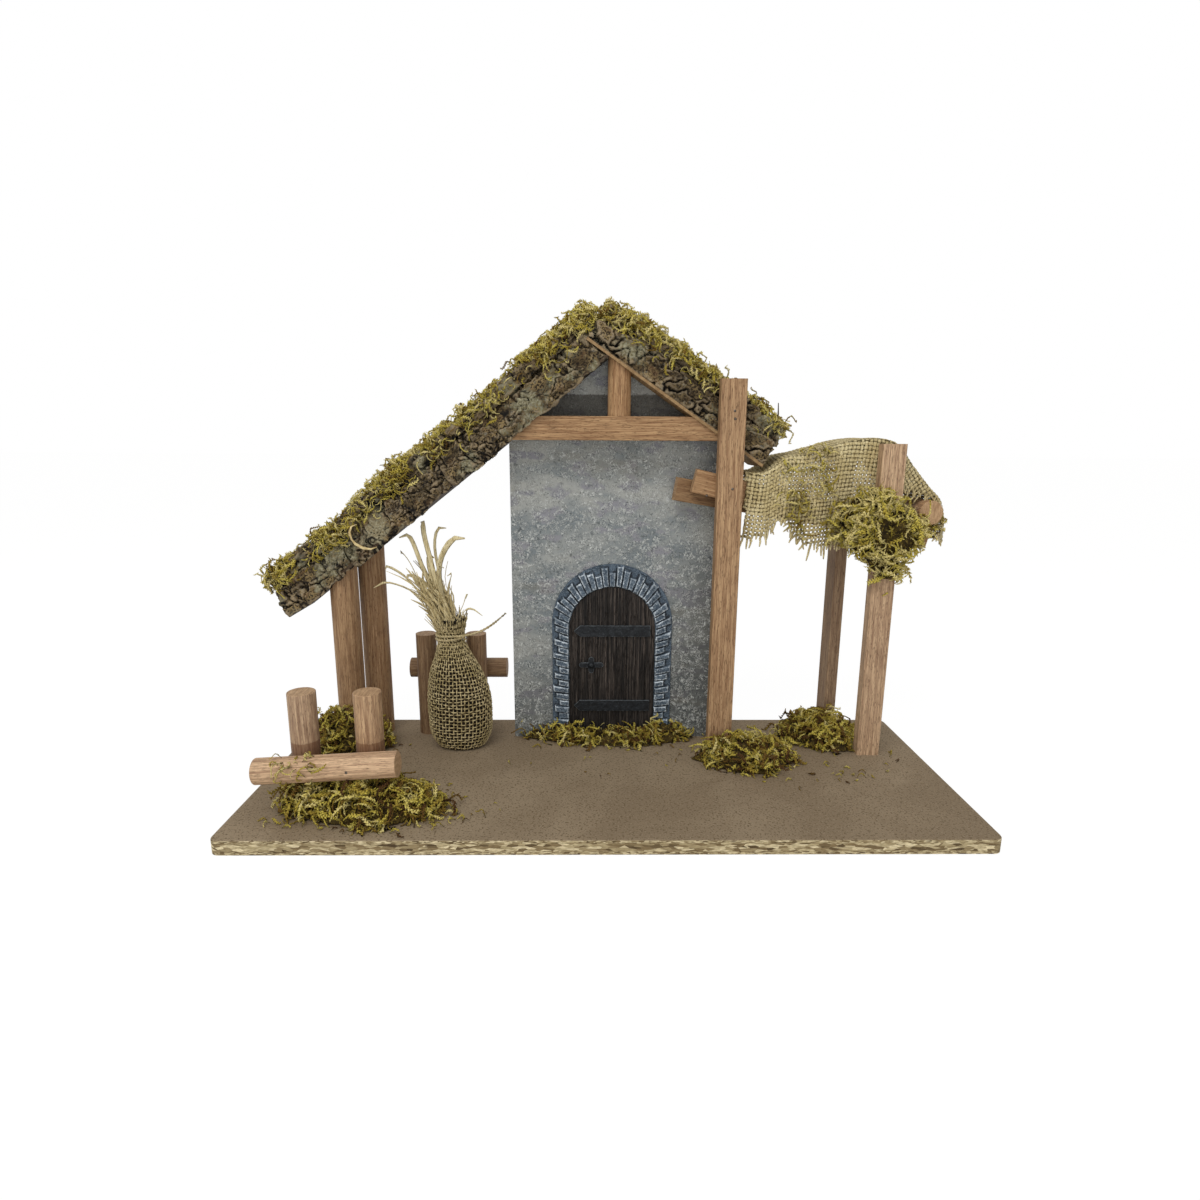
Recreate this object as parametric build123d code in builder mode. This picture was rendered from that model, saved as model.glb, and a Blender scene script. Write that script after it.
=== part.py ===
import os
from math import asin, atan2, cos, degrees, hypot, pi, radians, sin, tan

from build123d import *

os.makedirs("parts", exist_ok=True)

# Lengths are in millimetres and angles in degrees.
# X runs right, Y runs back, Z runs up, from the middle of the underside of the base.

# Base board
base_length = 400
base_depth = 160
base_thickness = 8
base_corner_radius = 5
base_edge_round = 0.8

# Sticks: flat laths and round dowels
lath_width = 15
lath_depth = 8
lath_edge_round = 0.6
left_post_radius = 8.6
fence_post_radius = 7.4
fence_rail_radius = 7
rear_fence_radius = 6.7
cross_dowel_radius = 7.2

# Nails driven up through the base, one into each post
nail_radius = 0.8
nail_length = 24
nail_head_radius = 2.2
nail_head_thickness = 1
nail_clearance = 0.1

# Roof: where the undersides of the two boards meet, and how they fall from there
ridge_x = 0.7
ridge_height = 250.6
left_pitch = 38.4
right_pitch = 34.3
left_run = 250
right_run = 111
roof_setback = 50
roof_depth = 40
roof_board_thickness = 1.6
right_board_overlap = 16

# Bark slabs and roof moss
bark_thickness = 21.4
bark_upper_length = 118
bark_middle_length = 78
bark_joint = 0.6
bark_foot_inset = 0.8
bark_shoulder_inset = 10
bark_side_share = 0.88
bark_side_bow = 0.12
moss_thickness = 7
moss_side_inset = 8
moss_bed = 7
moss_left_start = -6

# Back panel
panel_centre_x = 7
panel_width = 134
panel_setback = 30
panel_thickness = 3

# Door moulding on the panel
door_centre_x = 4.5
arch_outer_radius = 39
arch_inner_radius = 28
arch_outer_spring = 87
arch_inner_spring = 83
arch_backing = 1.4
arch_joint = 0.7
arch_crown_stones = 23
arch_leg_stones = 17
arch_stone_depths = (3.2, 2.7, 3.5, 2.9, 3.3)
arch_stone_reaches = (0.98, 0.66, 0.9, 0.6, 0.82)
door_thickness = 1.6
door_clearance = 0.2
door_planks = 9
plank_groove_width = 0.5
plank_groove_depth = 0.6
strap_height = 7.5
strap_thickness = 1.2
strap_point = 4
strap_inset = 3
strap_upper_height = 82
strap_lower_height = 31
latch_x = -9
latch_height = 59
latch_width = 16
latch_tall = 11
latch_bar = 3.4
latch_ball_radius = 2

# Gable timbers
beam_bottom = 203
beam_height = 14
beam_setback = 2
king_post_centre_x = 7.2
king_post_width = 13.5
king_post_depth = 8

# Posts of the house
tall_post_centre_x = 72.5
tall_post_height = 230
left_front_post_x = -164
left_front_post_setback = 40
left_back_post_x = -152.5
left_back_post_setback = 19

# Awning frame
front_rail_top_x = 54
front_rail_top_z = 186.7
front_rail_height = 14.2
front_rail_slope = 13
front_rail_length = 148
back_rail_top_x = 43.9
back_rail_top_z = 181.4
back_rail_height = 14.2
back_rail_depth = 6
back_rail_length = 158
back_rail_plan_slope = 0.17
rail_clearance = 0.4
cross_dowel_x = 193
cross_dowel_overhang = 8
cross_dowel_length = 53
awning_front_post_centre_x = 167.3
awning_front_post_width = 14
awning_front_post_height = 194
awning_back_post_along = 115
awning_back_post_width = 8
awning_back_post_depth = 12
awning_back_post_height = 193

# Awning cloth
cloth_thickness = 1.4
cloth_clearance = 0.35
cloth_setback = 2
cloth_back_drop = 13
cloth_bend = 2.4

# Fence in front
fence_left_x = -163.4
fence_right_x = -128.5
fence_setback = 40
fence_height = 64
fence_rail_left_x = -185
fence_rail_length = 75
fence_rail_left_z = 33
fence_rail_tilt = 3.2

# Fence behind the sack
rear_fence_left_x = -119
rear_fence_right_x = -85.8
rear_fence_setback = 20
rear_fence_height = 69
rear_rail_left_x = -133
rear_rail_length = 66
rear_rail_z = 49
fence_clearance = 0.05

# Sack, straw and twine
sack_x = -93
sack_setback = 43
sack_half_width = 20
sack_half_depth = 14.6
sack_neck_x = -98
sack_neck_radius = 7.9
sack_neck_height = 72
sack_collar_height = 5
straw_height = 27
straw_lean = 10
straw_radius = 10.4
straw_stems = 26
stem_order = 7
stem_radius = 0.7
stem_length = 12
straw_blades = 8
blade_width = 2.6
blade_thickness = 0.7
blade_length = 37
blade_bend = 7
twine_radius = 0.9
twine_turns = 1.75
twine_pitch = 2.6
twine_clearance = 0.3
twine_tail_reach = 36
twine_tail_rise = 15

# Moss mounds on the base
moss_fence_shift = 15
moss_fence_forward = 9
moss_fence_half_length = 45
moss_fence_half_depth = 19
moss_fence_height = 15
moss_left_forward = 6
moss_left_half_length = 25
moss_left_half_depth = 17
moss_left_height = 24
moss_door_half_length = 56
moss_door_half_depth = 16
moss_door_height = 15
moss_tall_shift = 15
moss_tall_forward = 9
moss_tall_half_length = 33
moss_tall_half_depth = 22
moss_tall_height = 11
moss_awning_shift = 10
moss_awning_forward = 22
moss_awning_half_length = 28
moss_awning_half_depth = 24
moss_awning_height = 13

floor = Plane.XY.offset(base_thickness)
base_back = base_depth / 2
roof_front = base_back - roof_setback
panel_front = base_back - panel_setback
left_front_post_y = base_back - left_front_post_setback
left_back_post_y = base_back - left_back_post_setback
rear_fence_y = base_back - rear_fence_setback
sack_y = base_back - sack_setback
fence_y = fence_setback - base_back
cloth_back = base_back - cloth_setback
cross_dowel_front = roof_front - cross_dowel_overhang
tall_post_front = roof_front - lath_depth
front_rail_front = roof_front
front_rail_back = front_rail_front + lath_depth
cloth_front = front_rail_front - cloth_clearance - cloth_thickness
awning_post_face = cloth_front - cloth_clearance - lath_depth
roof_back = roof_front + roof_depth
moss_door_back = panel_front - max(arch_stone_depths)


# The roof lines, seen from the front, as points (x, z)
left_down = (-cos(radians(left_pitch)), -sin(radians(left_pitch)))
left_out = (-sin(radians(left_pitch)), cos(radians(left_pitch)))
right_down = (cos(radians(right_pitch)), -sin(radians(right_pitch)))
right_out = (sin(radians(right_pitch)), cos(radians(right_pitch)))


def on_left_roof(down, out):
    """Point a distance down the left slope and out from its underside."""
    return (
        ridge_x + down * left_down[0] + out * left_out[0],
        ridge_height + down * left_down[1] + out * left_out[1],
    )


def on_right_roof(down, out):
    """Point a distance down the right slope and out from its underside."""
    return (
        ridge_x + down * right_down[0] + out * right_out[0],
        ridge_height + down * right_down[1] + out * right_out[1],
    )


def under_left_roof(x):
    """Height of the left board's underside at x."""
    return ridge_height - (ridge_x - x) * tan(radians(left_pitch))


def under_right_roof(x):
    """Height of the right board's underside at x."""
    return ridge_height - (x - ridge_x) * tan(radians(right_pitch))


def facing_front(y):
    """Plane at depth y, drawn on as (x, z), whose extrusions come forward."""
    return Plane(origin=(0, y, 0), x_dir=(1, 0, 0), z_dir=(0, -1, 0))


left_underside = Plane(
    origin=(ridge_x, 0, ridge_height), x_dir=(0, 1, 0), z_dir=(left_out[0], 0, left_out[1])
)
right_underside = Plane(
    origin=(ridge_x, 0, ridge_height), x_dir=(0, 1, 0), z_dir=(right_out[0], 0, right_out[1])
)

# The awning's dowel lies on the front rail, and the back rail falls so as to meet it too
front_rail_drop = (cross_dowel_x - front_rail_top_x) * tan(radians(front_rail_slope))
cross_dowel_z = (
    front_rail_top_z - front_rail_drop + cross_dowel_radius / cos(radians(front_rail_slope))
)
dowel_run = cross_dowel_x - back_rail_top_x
dowel_rise = cross_dowel_z - back_rail_top_z
back_rail_slope = asin(cross_dowel_radius / hypot(dowel_run, dowel_rise)) - atan2(dowel_rise, dowel_run)
back_rail_along = Vector(1, back_rail_plan_slope, -tan(back_rail_slope)).normalized()
back_rail_across = Vector(-back_rail_plan_slope, 1, 0).normalized()
back_rail_front = front_rail_back + rail_clearance
back_rail_corner = Vector(back_rail_top_x, back_rail_front, back_rail_top_z)
back_rail_plan = Vector(1, back_rail_plan_slope, 0).normalized()

# The back awning post stands against the back face of its rail
awning_back_foot = (
    Vector(back_rail_top_x, back_rail_front, 0)
    + back_rail_plan * awning_back_post_along
    + back_rail_across * (back_rail_depth + rail_clearance + awning_back_post_depth / 2)
)

tall_post_foot = (tall_post_centre_x, tall_post_front + lath_depth / 2)
left_front_foot = (left_front_post_x, left_front_post_y)
left_back_foot = (left_back_post_x, left_back_post_y)
awning_front_foot = (awning_front_post_centre_x, awning_post_face + lath_depth / 2)
awning_rear_foot = (awning_back_foot.X, awning_back_foot.Y)
fence_left_foot = (fence_left_x, fence_y)
fence_right_foot = (fence_right_x, fence_y)
rear_left_foot = (rear_fence_left_x, rear_fence_y)
rear_right_foot = (rear_fence_right_x, rear_fence_y)
post_feet = (
    tall_post_foot,
    left_front_foot,
    left_back_foot,
    awning_front_foot,
    awning_rear_foot,
    fence_left_foot,
    fence_right_foot,
    rear_left_foot,
    rear_right_foot,
)


def pilot_hole(foot):
    """Hole in the foot of a post for its nail."""
    with BuildSketch(floor) as hole:
        with Locations(foot):
            Circle(nail_radius + nail_clearance)
    extrude(hole.sketch, amount=nail_length - base_thickness + nail_clearance, mode=Mode.SUBTRACT)


# Base board, drilled and countersunk for the nails
with BuildPart() as base_board:
    with BuildSketch():
        RectangleRounded(base_length, base_depth, base_corner_radius)
    extrude(amount=base_thickness)
    fillet(base_board.edges().group_by(Axis.Z)[-1], base_edge_round)
    with BuildSketch():
        with Locations(*post_feet):
            Circle(nail_radius + nail_clearance)
    extrude(amount=base_thickness, mode=Mode.SUBTRACT)
    with BuildSketch():
        with Locations(*post_feet):
            Circle(nail_head_radius + nail_clearance)
    extrude(amount=nail_head_thickness, mode=Mode.SUBTRACT)

with BuildPart() as base_nails:
    with BuildSketch():
        with Locations(*post_feet):
            Circle(nail_head_radius)
    extrude(amount=nail_head_thickness)
    with BuildSketch():
        with Locations(*post_feet):
            Circle(nail_radius)
    extrude(amount=nail_length)

# Back panel, its gable cut to the undersides of the roof boards
panel_left = panel_centre_x - panel_width / 2
panel_right = panel_centre_x + panel_width / 2

with BuildPart() as back_panel:
    with BuildSketch(facing_front(panel_front)):
        Polygon(
            (panel_left, base_thickness),
            (panel_right, base_thickness),
            (panel_right, under_right_roof(panel_right)),
            (ridge_x, ridge_height),
            (panel_left, under_left_roof(panel_left)),
            align=None,
        )
    extrude(amount=-panel_thickness)


# Door arch: a thin backing with one block for each stone
def arch_points(fraction):
    """Inner and outer ends of a radial joint, from the right springing to the left one."""
    angle = pi * fraction
    inner = (
        door_centre_x + arch_inner_radius * cos(angle),
        arch_inner_spring + arch_inner_radius * sin(angle),
    )
    outer = (
        door_centre_x + arch_outer_radius * cos(angle),
        arch_outer_spring + arch_outer_radius * sin(angle),
    )
    return inner, outer


def leg_points(side, fraction):
    """Inner and outer ends of a joint in a leg, from the floor to the springing."""
    inner = (
        door_centre_x + side * arch_inner_radius,
        base_thickness + fraction * (arch_inner_spring - base_thickness),
    )
    outer = (
        door_centre_x + side * arch_outer_radius,
        base_thickness + fraction * (arch_outer_spring - base_thickness),
    )
    return inner, outer


def arched_face(half_width, spring, foot):
    """Face with straight sides, a level foot and a round head."""
    left = door_centre_x - half_width
    right = door_centre_x + half_width
    with BuildLine() as outline:
        Line((left, foot), (right, foot))
        Line((right, foot), (right, spring))
        ThreePointArc((right, spring), (door_centre_x, spring + half_width), (left, spring))
        Line((left, spring), (left, foot))
    make_face(outline.edges())


def shortened(corners, reach):
    """A stone's corners, drawn in from the outer edge to a share of its length."""
    low_inner, low_outer, high_outer, high_inner = corners
    low = tuple(a + reach * (b - a) for a, b in zip(low_inner, low_outer))
    high = tuple(a + reach * (b - a) for a, b in zip(high_inner, high_outer))
    return low_inner, low, high, high_inner


crown_joint = arch_joint / (pi * arch_outer_radius)
leg_joint = arch_joint / (arch_outer_spring - base_thickness)
arch_stones = []
for index in range(arch_crown_stones):
    start = arch_points((index + 0.0) / arch_crown_stones + crown_joint / 2)
    end = arch_points((index + 1.0) / arch_crown_stones - crown_joint / 2)
    arch_stones.append((start[0], start[1], end[1], end[0]))
for side in (-1, 1):
    for index in range(arch_leg_stones):
        low = leg_points(side, (index + 0.0) / arch_leg_stones)
        high = leg_points(side, (index + 1.0) / arch_leg_stones - leg_joint)
        arch_stones.append((low[0], low[1], high[1], high[0]))

with BuildPart() as door_arch:
    with BuildSketch(facing_front(panel_front)):
        arched_face(arch_outer_radius, arch_outer_spring, base_thickness)
    extrude(amount=arch_backing)
    with BuildSketch(facing_front(panel_front)):
        arched_face(arch_inner_radius, arch_inner_spring, base_thickness)
    extrude(amount=arch_backing, mode=Mode.SUBTRACT)
    for order, (depth, reach) in enumerate(zip(arch_stone_depths, arch_stone_reaches)):
        with BuildSketch(facing_front(panel_front)):
            for corners in arch_stones[order :: len(arch_stone_depths)]:
                Polygon(*shortened(corners, reach), align=None)
        extrude(amount=depth)

# Door leaf: upright planks filling the arch
plank_width = 2 * arch_inner_radius / door_planks
door_face = panel_front - door_thickness

with BuildPart() as door_leaf:
    with BuildSketch(facing_front(panel_front)):
        arched_face(arch_inner_radius - door_clearance, arch_inner_spring, base_thickness)
    extrude(amount=door_thickness)
    with BuildSketch(facing_front(door_face)):
        for joint in range(1, door_planks):
            with Locations((door_centre_x - arch_inner_radius + joint * plank_width, 0)):
                Rectangle(
                    plank_groove_width,
                    2 * (arch_inner_spring + arch_inner_radius),
                )
    extrude(amount=-plank_groove_depth, mode=Mode.SUBTRACT)


def opening_half_width(height):
    """Half the width of the door opening at a height."""
    above_spring = max(0, height - arch_inner_spring)
    return (arch_inner_radius**2 - above_spring**2) ** 0.5


# Door straps: flat bars with a pointed left end
def strap_outline(height):
    """Outline of a strap at a height on the door."""
    half_length = opening_half_width(height + strap_height / 2) - strap_inset
    left = door_centre_x - half_length
    right = door_centre_x + half_length
    Polygon(
        (left, height),
        (left + strap_point, height - strap_height / 2),
        (right, height - strap_height / 2),
        (right, height + strap_height / 2),
        (left + strap_point, height + strap_height / 2),
        align=None,
    )


with BuildPart() as door_strap_upper:
    with BuildSketch(facing_front(door_face)):
        strap_outline(strap_upper_height)
    extrude(amount=strap_thickness)

with BuildPart() as door_strap_lower:
    with BuildSketch(facing_front(door_face)):
        strap_outline(strap_lower_height)
    extrude(amount=strap_thickness)

# Door latch: a cross with a ball in the middle
with BuildPart() as door_latch:
    with BuildSketch(facing_front(door_face)):
        with Locations((latch_x, latch_height)):
            SlotOverall(latch_width, latch_bar)
            SlotOverall(latch_tall, latch_bar, rotation=90)
    extrude(amount=strap_thickness)
    with Locations((latch_x, door_face - strap_thickness, latch_height)):
        Sphere(latch_ball_radius)
    split(bisect_by=facing_front(door_face), keep=Keep.TOP)

# Tie beam, its ends cut to the two slopes, and the king post standing on it
beam_front = roof_front + beam_setback
beam_top = beam_bottom + beam_height


def left_roof_x(height):
    """Where the left board's underside is at a height."""
    return ridge_x - (ridge_height - height) / tan(radians(left_pitch))


def right_roof_x(height):
    """Where the right board's underside is at a height."""
    return ridge_x + (ridge_height - height) / tan(radians(right_pitch))


with BuildPart() as tie_beam:
    with BuildSketch(facing_front(beam_front)):
        Polygon(
            (left_roof_x(beam_bottom), beam_bottom),
            (right_roof_x(beam_bottom), beam_bottom),
            (right_roof_x(beam_top), beam_top),
            (left_roof_x(beam_top), beam_top),
            align=None,
        )
    extrude(amount=-lath_depth)
    fillet(tie_beam.edges().filter_by(Axis.X), lath_edge_round)

with BuildPart() as king_post:
    king_left = king_post_centre_x - king_post_width / 2
    king_right = king_post_centre_x + king_post_width / 2
    king_back = beam_front + king_post_depth
    with BuildSketch(Plane.XY.offset(beam_top)):
        with BuildLine():
            ThreePointArc(
                (king_left, king_back), (king_post_centre_x, beam_front), (king_right, king_back)
            )
            Line((king_right, king_back), (king_left, king_back))
        make_face()
    extrude(amount=ridge_height)
    split(bisect_by=left_underside, keep=Keep.BOTTOM)
    split(bisect_by=right_underside, keep=Keep.BOTTOM)

# Tall post: a lath in front of the right slope
with BuildPart() as tall_post:
    with BuildSketch(floor):
        with Locations(tall_post_foot):
            Rectangle(lath_width, lath_depth)
    extrude(amount=tall_post_height)
    fillet(tall_post.edges().filter_by(Axis.Z), lath_edge_round)
    pilot_hole(tall_post_foot)

# Dowels under the left eave, cut to its slope
with BuildPart() as left_post_front:
    with BuildSketch(floor):
        with Locations(left_front_foot):
            Circle(left_post_radius)
    extrude(amount=ridge_height)
    split(bisect_by=left_underside, keep=Keep.BOTTOM)
    pilot_hole(left_front_foot)

with BuildPart() as left_post_back:
    with BuildSketch(floor):
        with Locations(left_back_foot):
            Circle(left_post_radius)
    extrude(amount=ridge_height)
    split(bisect_by=left_underside, keep=Keep.BOTTOM)
    pilot_hole(left_back_foot)

# Roof boards: the left one butts up under the right one
left_board_mitre = roof_board_thickness / sin(radians(left_pitch + right_pitch))

with BuildPart() as roof_board_left:
    with BuildSketch(facing_front(roof_front)):
        Polygon(
            on_left_roof(0, 0),
            on_right_roof(-left_board_mitre, 0),
            on_left_roof(left_run, roof_board_thickness),
            on_left_roof(left_run, 0),
            align=None,
        )
    extrude(amount=-roof_depth)

with BuildPart() as roof_board_right:
    with BuildSketch(facing_front(roof_front)):
        Polygon(
            on_right_roof(-right_board_overlap, 0),
            on_right_roof(right_run, 0),
            on_right_roof(right_run, roof_board_thickness),
            on_right_roof(-right_board_overlap, roof_board_thickness),
            align=None,
        )
    extrude(amount=-roof_depth)


# Bark slabs: lofts across the slope, flat below and rounded over the top
def left_section(down):
    """Plane across the left slope on the board, drawn on as (y, height)."""
    x, z = on_left_roof(down, roof_board_thickness)
    return Plane(origin=(x, 0, z), x_dir=(0, 1, 0), z_dir=(-left_down[0], 0, -left_down[1]))


def right_section(down):
    """Plane across the right slope on the board, drawn on as (y, height)."""
    x, z = on_right_roof(down, roof_board_thickness)
    return Plane(origin=(x, 0, z), x_dir=(0, 1, 0), z_dir=(right_down[0], 0, right_down[1]))


def bark_outline(section, height):
    """Section of a slab: a flat bed, two steep sides and a rounded back."""
    shoulder = bark_shoulder_inset
    front = roof_front + bark_foot_inset
    back = roof_back - bark_foot_inset
    top_front = front + shoulder
    top_back = back - shoulder
    side = bark_side_share * height
    bow = bark_side_bow * shoulder
    with BuildSketch(section) as outline:
        with BuildLine():
            Line((front, 0), (back, 0))
            ThreePointArc((back, 0), (back - bow, side / 2), (top_back, side))
            ThreePointArc((top_back, side), ((front + back) / 2, height), (top_front, side))
            ThreePointArc((top_front, side), (front + bow, side / 2), (front, 0))
        make_face()
    return outline.sketch


# Each slab's swelling, as (fraction of its length, share of the full thickness)
upper_swell = ((0, 0.94), (0.3, 1.04), (0.6, 0.97), (0.85, 1.05), (1, 0.92))
middle_swell = ((0, 0.9), (0.25, 0.98), (0.6, 1.02), (1, 0.86))
eave_swell = ((0, 0.84), (0.35, 0.96), (0.75, 1.02), (1, 0.9))
right_swell = ((0, 0.7), (0.2, 1), (0.5, 1.06), (0.8, 1), (1, 0.9))

upper_end = bark_upper_length
middle_start = upper_end + bark_joint
middle_end = middle_start + bark_middle_length
eave_start = middle_end + bark_joint
bark_left_mitre = (roof_board_thickness + 1.2 * bark_thickness) / tan(radians(left_pitch + right_pitch))

with BuildPart() as bark_left_upper:
    outlines = []
    for fraction, swell in upper_swell:
        station = -bark_left_mitre + fraction * (upper_end + bark_left_mitre)
        outlines.append(bark_outline(left_section(station), swell * bark_thickness))
    loft(outlines, ruled=True)
    split(bisect_by=right_underside, keep=Keep.BOTTOM)

with BuildPart() as bark_left_middle:
    outlines = []
    for fraction, swell in middle_swell:
        station = middle_start + fraction * bark_middle_length
        outlines.append(bark_outline(left_section(station), swell * bark_thickness))
    loft(outlines, ruled=True)

with BuildPart() as bark_left_eave:
    outlines = []
    for fraction, swell in eave_swell:
        station = eave_start + fraction * (left_run - eave_start)
        outlines.append(bark_outline(left_section(station), swell * bark_thickness))
    loft(outlines, ruled=True)

with BuildPart() as bark_right:
    outlines = []
    for fraction, swell in right_swell:
        station = -right_board_overlap + fraction * (right_run + right_board_overlap)
        outlines.append(bark_outline(right_section(station), swell * bark_thickness))
    loft(outlines, ruled=True)


# Roof moss: a rounded strip bedded on the backs of the slabs
def moss_outline(section, rise):
    """Section of the moss strip, from inside the bark to above it."""
    front = roof_front + moss_side_inset
    back = roof_back - moss_side_inset
    low = bark_thickness - moss_bed
    side = bark_thickness + rise / 2
    with BuildSketch(section) as outline:
        with BuildLine():
            Line((front, low), (back, low))
            Line((back, low), (back, side))
            ThreePointArc(
                (back, side), ((front + back) / 2, bark_thickness + rise), (front, side)
            )
            Line((front, side), (front, low))
        make_face()
    return outline.sketch


# The strips' thickness along the roof, as (fraction of its length, share of the thickness)
moss_left_rise = ((0, 0.9), (0.07, 1.15), (0.2, 1.1), (0.4, 0.85), (0.6, 1.15), (0.8, 0.9), (1, 1.2))
moss_right_rise = ((0, 0.5), (0.2, 0.9), (0.45, 0.85), (0.75, 1.15), (1, 0.9))

with BuildPart() as moss_roof_left:
    outlines = []
    for fraction, share in moss_left_rise:
        station = moss_left_start + fraction * (left_run - moss_left_start)
        outlines.append(moss_outline(left_section(station), share * moss_thickness))
    loft(outlines, ruled=True)
    add(bark_left_upper.part, mode=Mode.SUBTRACT)
    add(bark_left_middle.part, mode=Mode.SUBTRACT)
    add(bark_left_eave.part, mode=Mode.SUBTRACT)
    add(roof_board_right.part, mode=Mode.SUBTRACT)
    add(bark_right.part, mode=Mode.SUBTRACT)

with BuildPart() as moss_roof_right:
    outlines = []
    for fraction, share in moss_right_rise:
        station = -right_board_overlap + fraction * (right_run + right_board_overlap)
        outlines.append(moss_outline(right_section(station), share * moss_thickness))
    loft(outlines, ruled=True)
    add(bark_right.part, mode=Mode.SUBTRACT)
    add(bark_left_upper.part, mode=Mode.SUBTRACT)
    add(moss_roof_left.part, mode=Mode.SUBTRACT)

# Awning rails: laths on edge, sloping down to the right
with BuildPart() as awning_rail_front:
    slope = radians(front_rail_slope)
    rail_plane = Plane(
        origin=(front_rail_top_x, front_rail_front, front_rail_top_z),
        x_dir=(cos(slope), 0, -sin(slope)),
        z_dir=(0, -1, 0),
    )
    with BuildSketch(rail_plane):
        Rectangle(front_rail_length, front_rail_height, align=(Align.MIN, Align.MAX))
    extrude(amount=-lath_depth)
    fillet(awning_rail_front.edges().filter_by(Axis(rail_plane.origin, rail_plane.x_dir)), lath_edge_round)

with BuildPart() as awning_rail_back:
    rail_plane = Plane(origin=back_rail_corner, x_dir=back_rail_along, z_dir=back_rail_across * -1)
    with BuildSketch(rail_plane):
        Rectangle(back_rail_length, back_rail_height, align=(Align.MIN, Align.MAX))
    extrude(amount=-back_rail_depth)
    fillet(awning_rail_back.edges().filter_by(Axis(rail_plane.origin, rail_plane.x_dir)), lath_edge_round)

with BuildPart() as awning_cross_dowel:
    with BuildSketch(facing_front(cross_dowel_front + cross_dowel_length)):
        with Locations((cross_dowel_x, cross_dowel_z)):
            Circle(cross_dowel_radius)
    extrude(amount=cross_dowel_length)
    fillet(awning_cross_dowel.edges().group_by(Axis.Y)[0], lath_edge_round)

# Awning posts: one in front of the cloth, one behind the back rail and square to it
with BuildPart() as awning_front_stick:
    with BuildSketch(floor):
        with Locations(awning_front_foot):
            Rectangle(awning_front_post_width, lath_depth)
    extrude(amount=awning_front_post_height)
    fillet(awning_front_stick.edges().filter_by(Axis.Z), lath_edge_round)
    pilot_hole(awning_front_foot)

with BuildPart() as awning_post_back:
    with BuildSketch(floor):
        with Locations(Location(awning_rear_foot, degrees(atan2(back_rail_plan_slope, 1)))):
            Rectangle(awning_back_post_width, awning_back_post_depth)
    extrude(amount=awning_back_post_height)
    fillet(awning_post_back.edges().filter_by(Axis.Z), lath_edge_round)
    pilot_hole(awning_rear_foot)

# Awning cloth: it leaves the tall post, climbs to the two awning posts, falls over the dowel
# and hangs in front of its rail in folds. Each section is
# (x, z of its top, tilt, drop of the front, how far the fold comes forward)
cloth_sections = (
    (82.5, 186.0, 0, 40, 0),
    (88, 185.5, 0, 39, 3.5),
    (94, 186.0, 0, 38, 5.5),
    (100, 190.0, 0, 35, 3),
    (106, 194.5, 0, 36, 7),
    (112, 196.0, 0, 46, 3),
    (118, 197.0, 0, 53, 1),
    (125, 199.0, 0, 57, 4.5),
    (133, 201.0, 0, 60, 1.5),
    (142, 203.8, 0, 60, 0),
    (152, 205.5, 0, 56, 0),
    (161, 206.0, 0, 50, 0),
    (171, 204.0, 10, 40, 0),
    (184, 190.0, 35, 18, 0),
    (195, 177.5, 50, 7, 0),
    (202.6, 169.5, 64, 4, 0),
    (206, 159.0, 80, 4, 0),
    (206.5, 143.0, 90, 4, 0),
)


def cloth_outline(x, z, tilt, drop, fold):
    """Section of the cloth: short drop behind, flat top, long drop in front."""
    turn = radians(tilt)
    section = Plane(origin=(x, 0, z), x_dir=(0, 1, 0), z_dir=(cos(turn), 0, -sin(turn)))
    back_drop = min(cloth_back_drop, drop)
    bend = cloth_bend
    middle = (cloth_front + cloth_back) / 2
    half_fall = cloth_front - 0.7 * fold - 0.6 * cloth_clearance
    hem = cloth_front - fold
    with BuildSketch(section) as outline:
        Polygon(
            (cloth_back, -back_drop),
            (cloth_back, -bend),
            (cloth_back - bend, 0),
            (middle, -cloth_thickness / 2),
            (cloth_front + bend, 0),
            (cloth_front, -bend),
            (half_fall, -(bend + drop) / 2),
            (hem, -drop),
            (hem + cloth_thickness, -drop),
            (half_fall + cloth_thickness, -(bend + drop) / 2),
            (cloth_front + cloth_thickness, -bend),
            (cloth_front + bend, -cloth_thickness),
            (middle, -1.5 * cloth_thickness),
            (cloth_back - bend, -cloth_thickness),
            (cloth_back - cloth_thickness, -bend),
            (cloth_back - cloth_thickness, -back_drop),
            align=None,
        )
    return outline.sketch


with BuildPart() as awning_cloth:
    loft([cloth_outline(*cloth_section) for cloth_section in cloth_sections], ruled=True)


# Front fence: two stumps and a rail resting against them
with BuildPart() as fence_post_left:
    with BuildSketch(floor):
        with Locations(fence_left_foot):
            Circle(fence_post_radius)
    extrude(amount=fence_height)
    fillet(fence_post_left.edges().group_by(Axis.Z)[-1], lath_edge_round)
    pilot_hole(fence_left_foot)

with BuildPart() as fence_post_right:
    with BuildSketch(floor):
        with Locations(fence_right_foot):
            Circle(fence_post_radius)
    extrude(amount=fence_height)
    fillet(fence_post_right.edges().group_by(Axis.Z)[-1], lath_edge_round)
    pilot_hole(fence_right_foot)

with BuildPart() as fence_rail:
    rail_y = fence_y - fence_post_radius - fence_rail_radius - fence_clearance
    tilt = radians(fence_rail_tilt)
    rail_end = Plane(
        origin=(fence_rail_left_x, rail_y, fence_rail_left_z), z_dir=(cos(tilt), 0, sin(tilt))
    )
    with BuildSketch(rail_end):
        Circle(fence_rail_radius)
    extrude(amount=fence_rail_length)
    fillet(fence_rail.edges().filter_by(GeomType.CIRCLE), lath_edge_round)

# Rear fence: the same, with its rail behind the stumps
with BuildPart() as rear_fence_post_left:
    with BuildSketch(floor):
        with Locations(rear_left_foot):
            Circle(rear_fence_radius)
    extrude(amount=rear_fence_height)
    pilot_hole(rear_left_foot)

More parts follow.
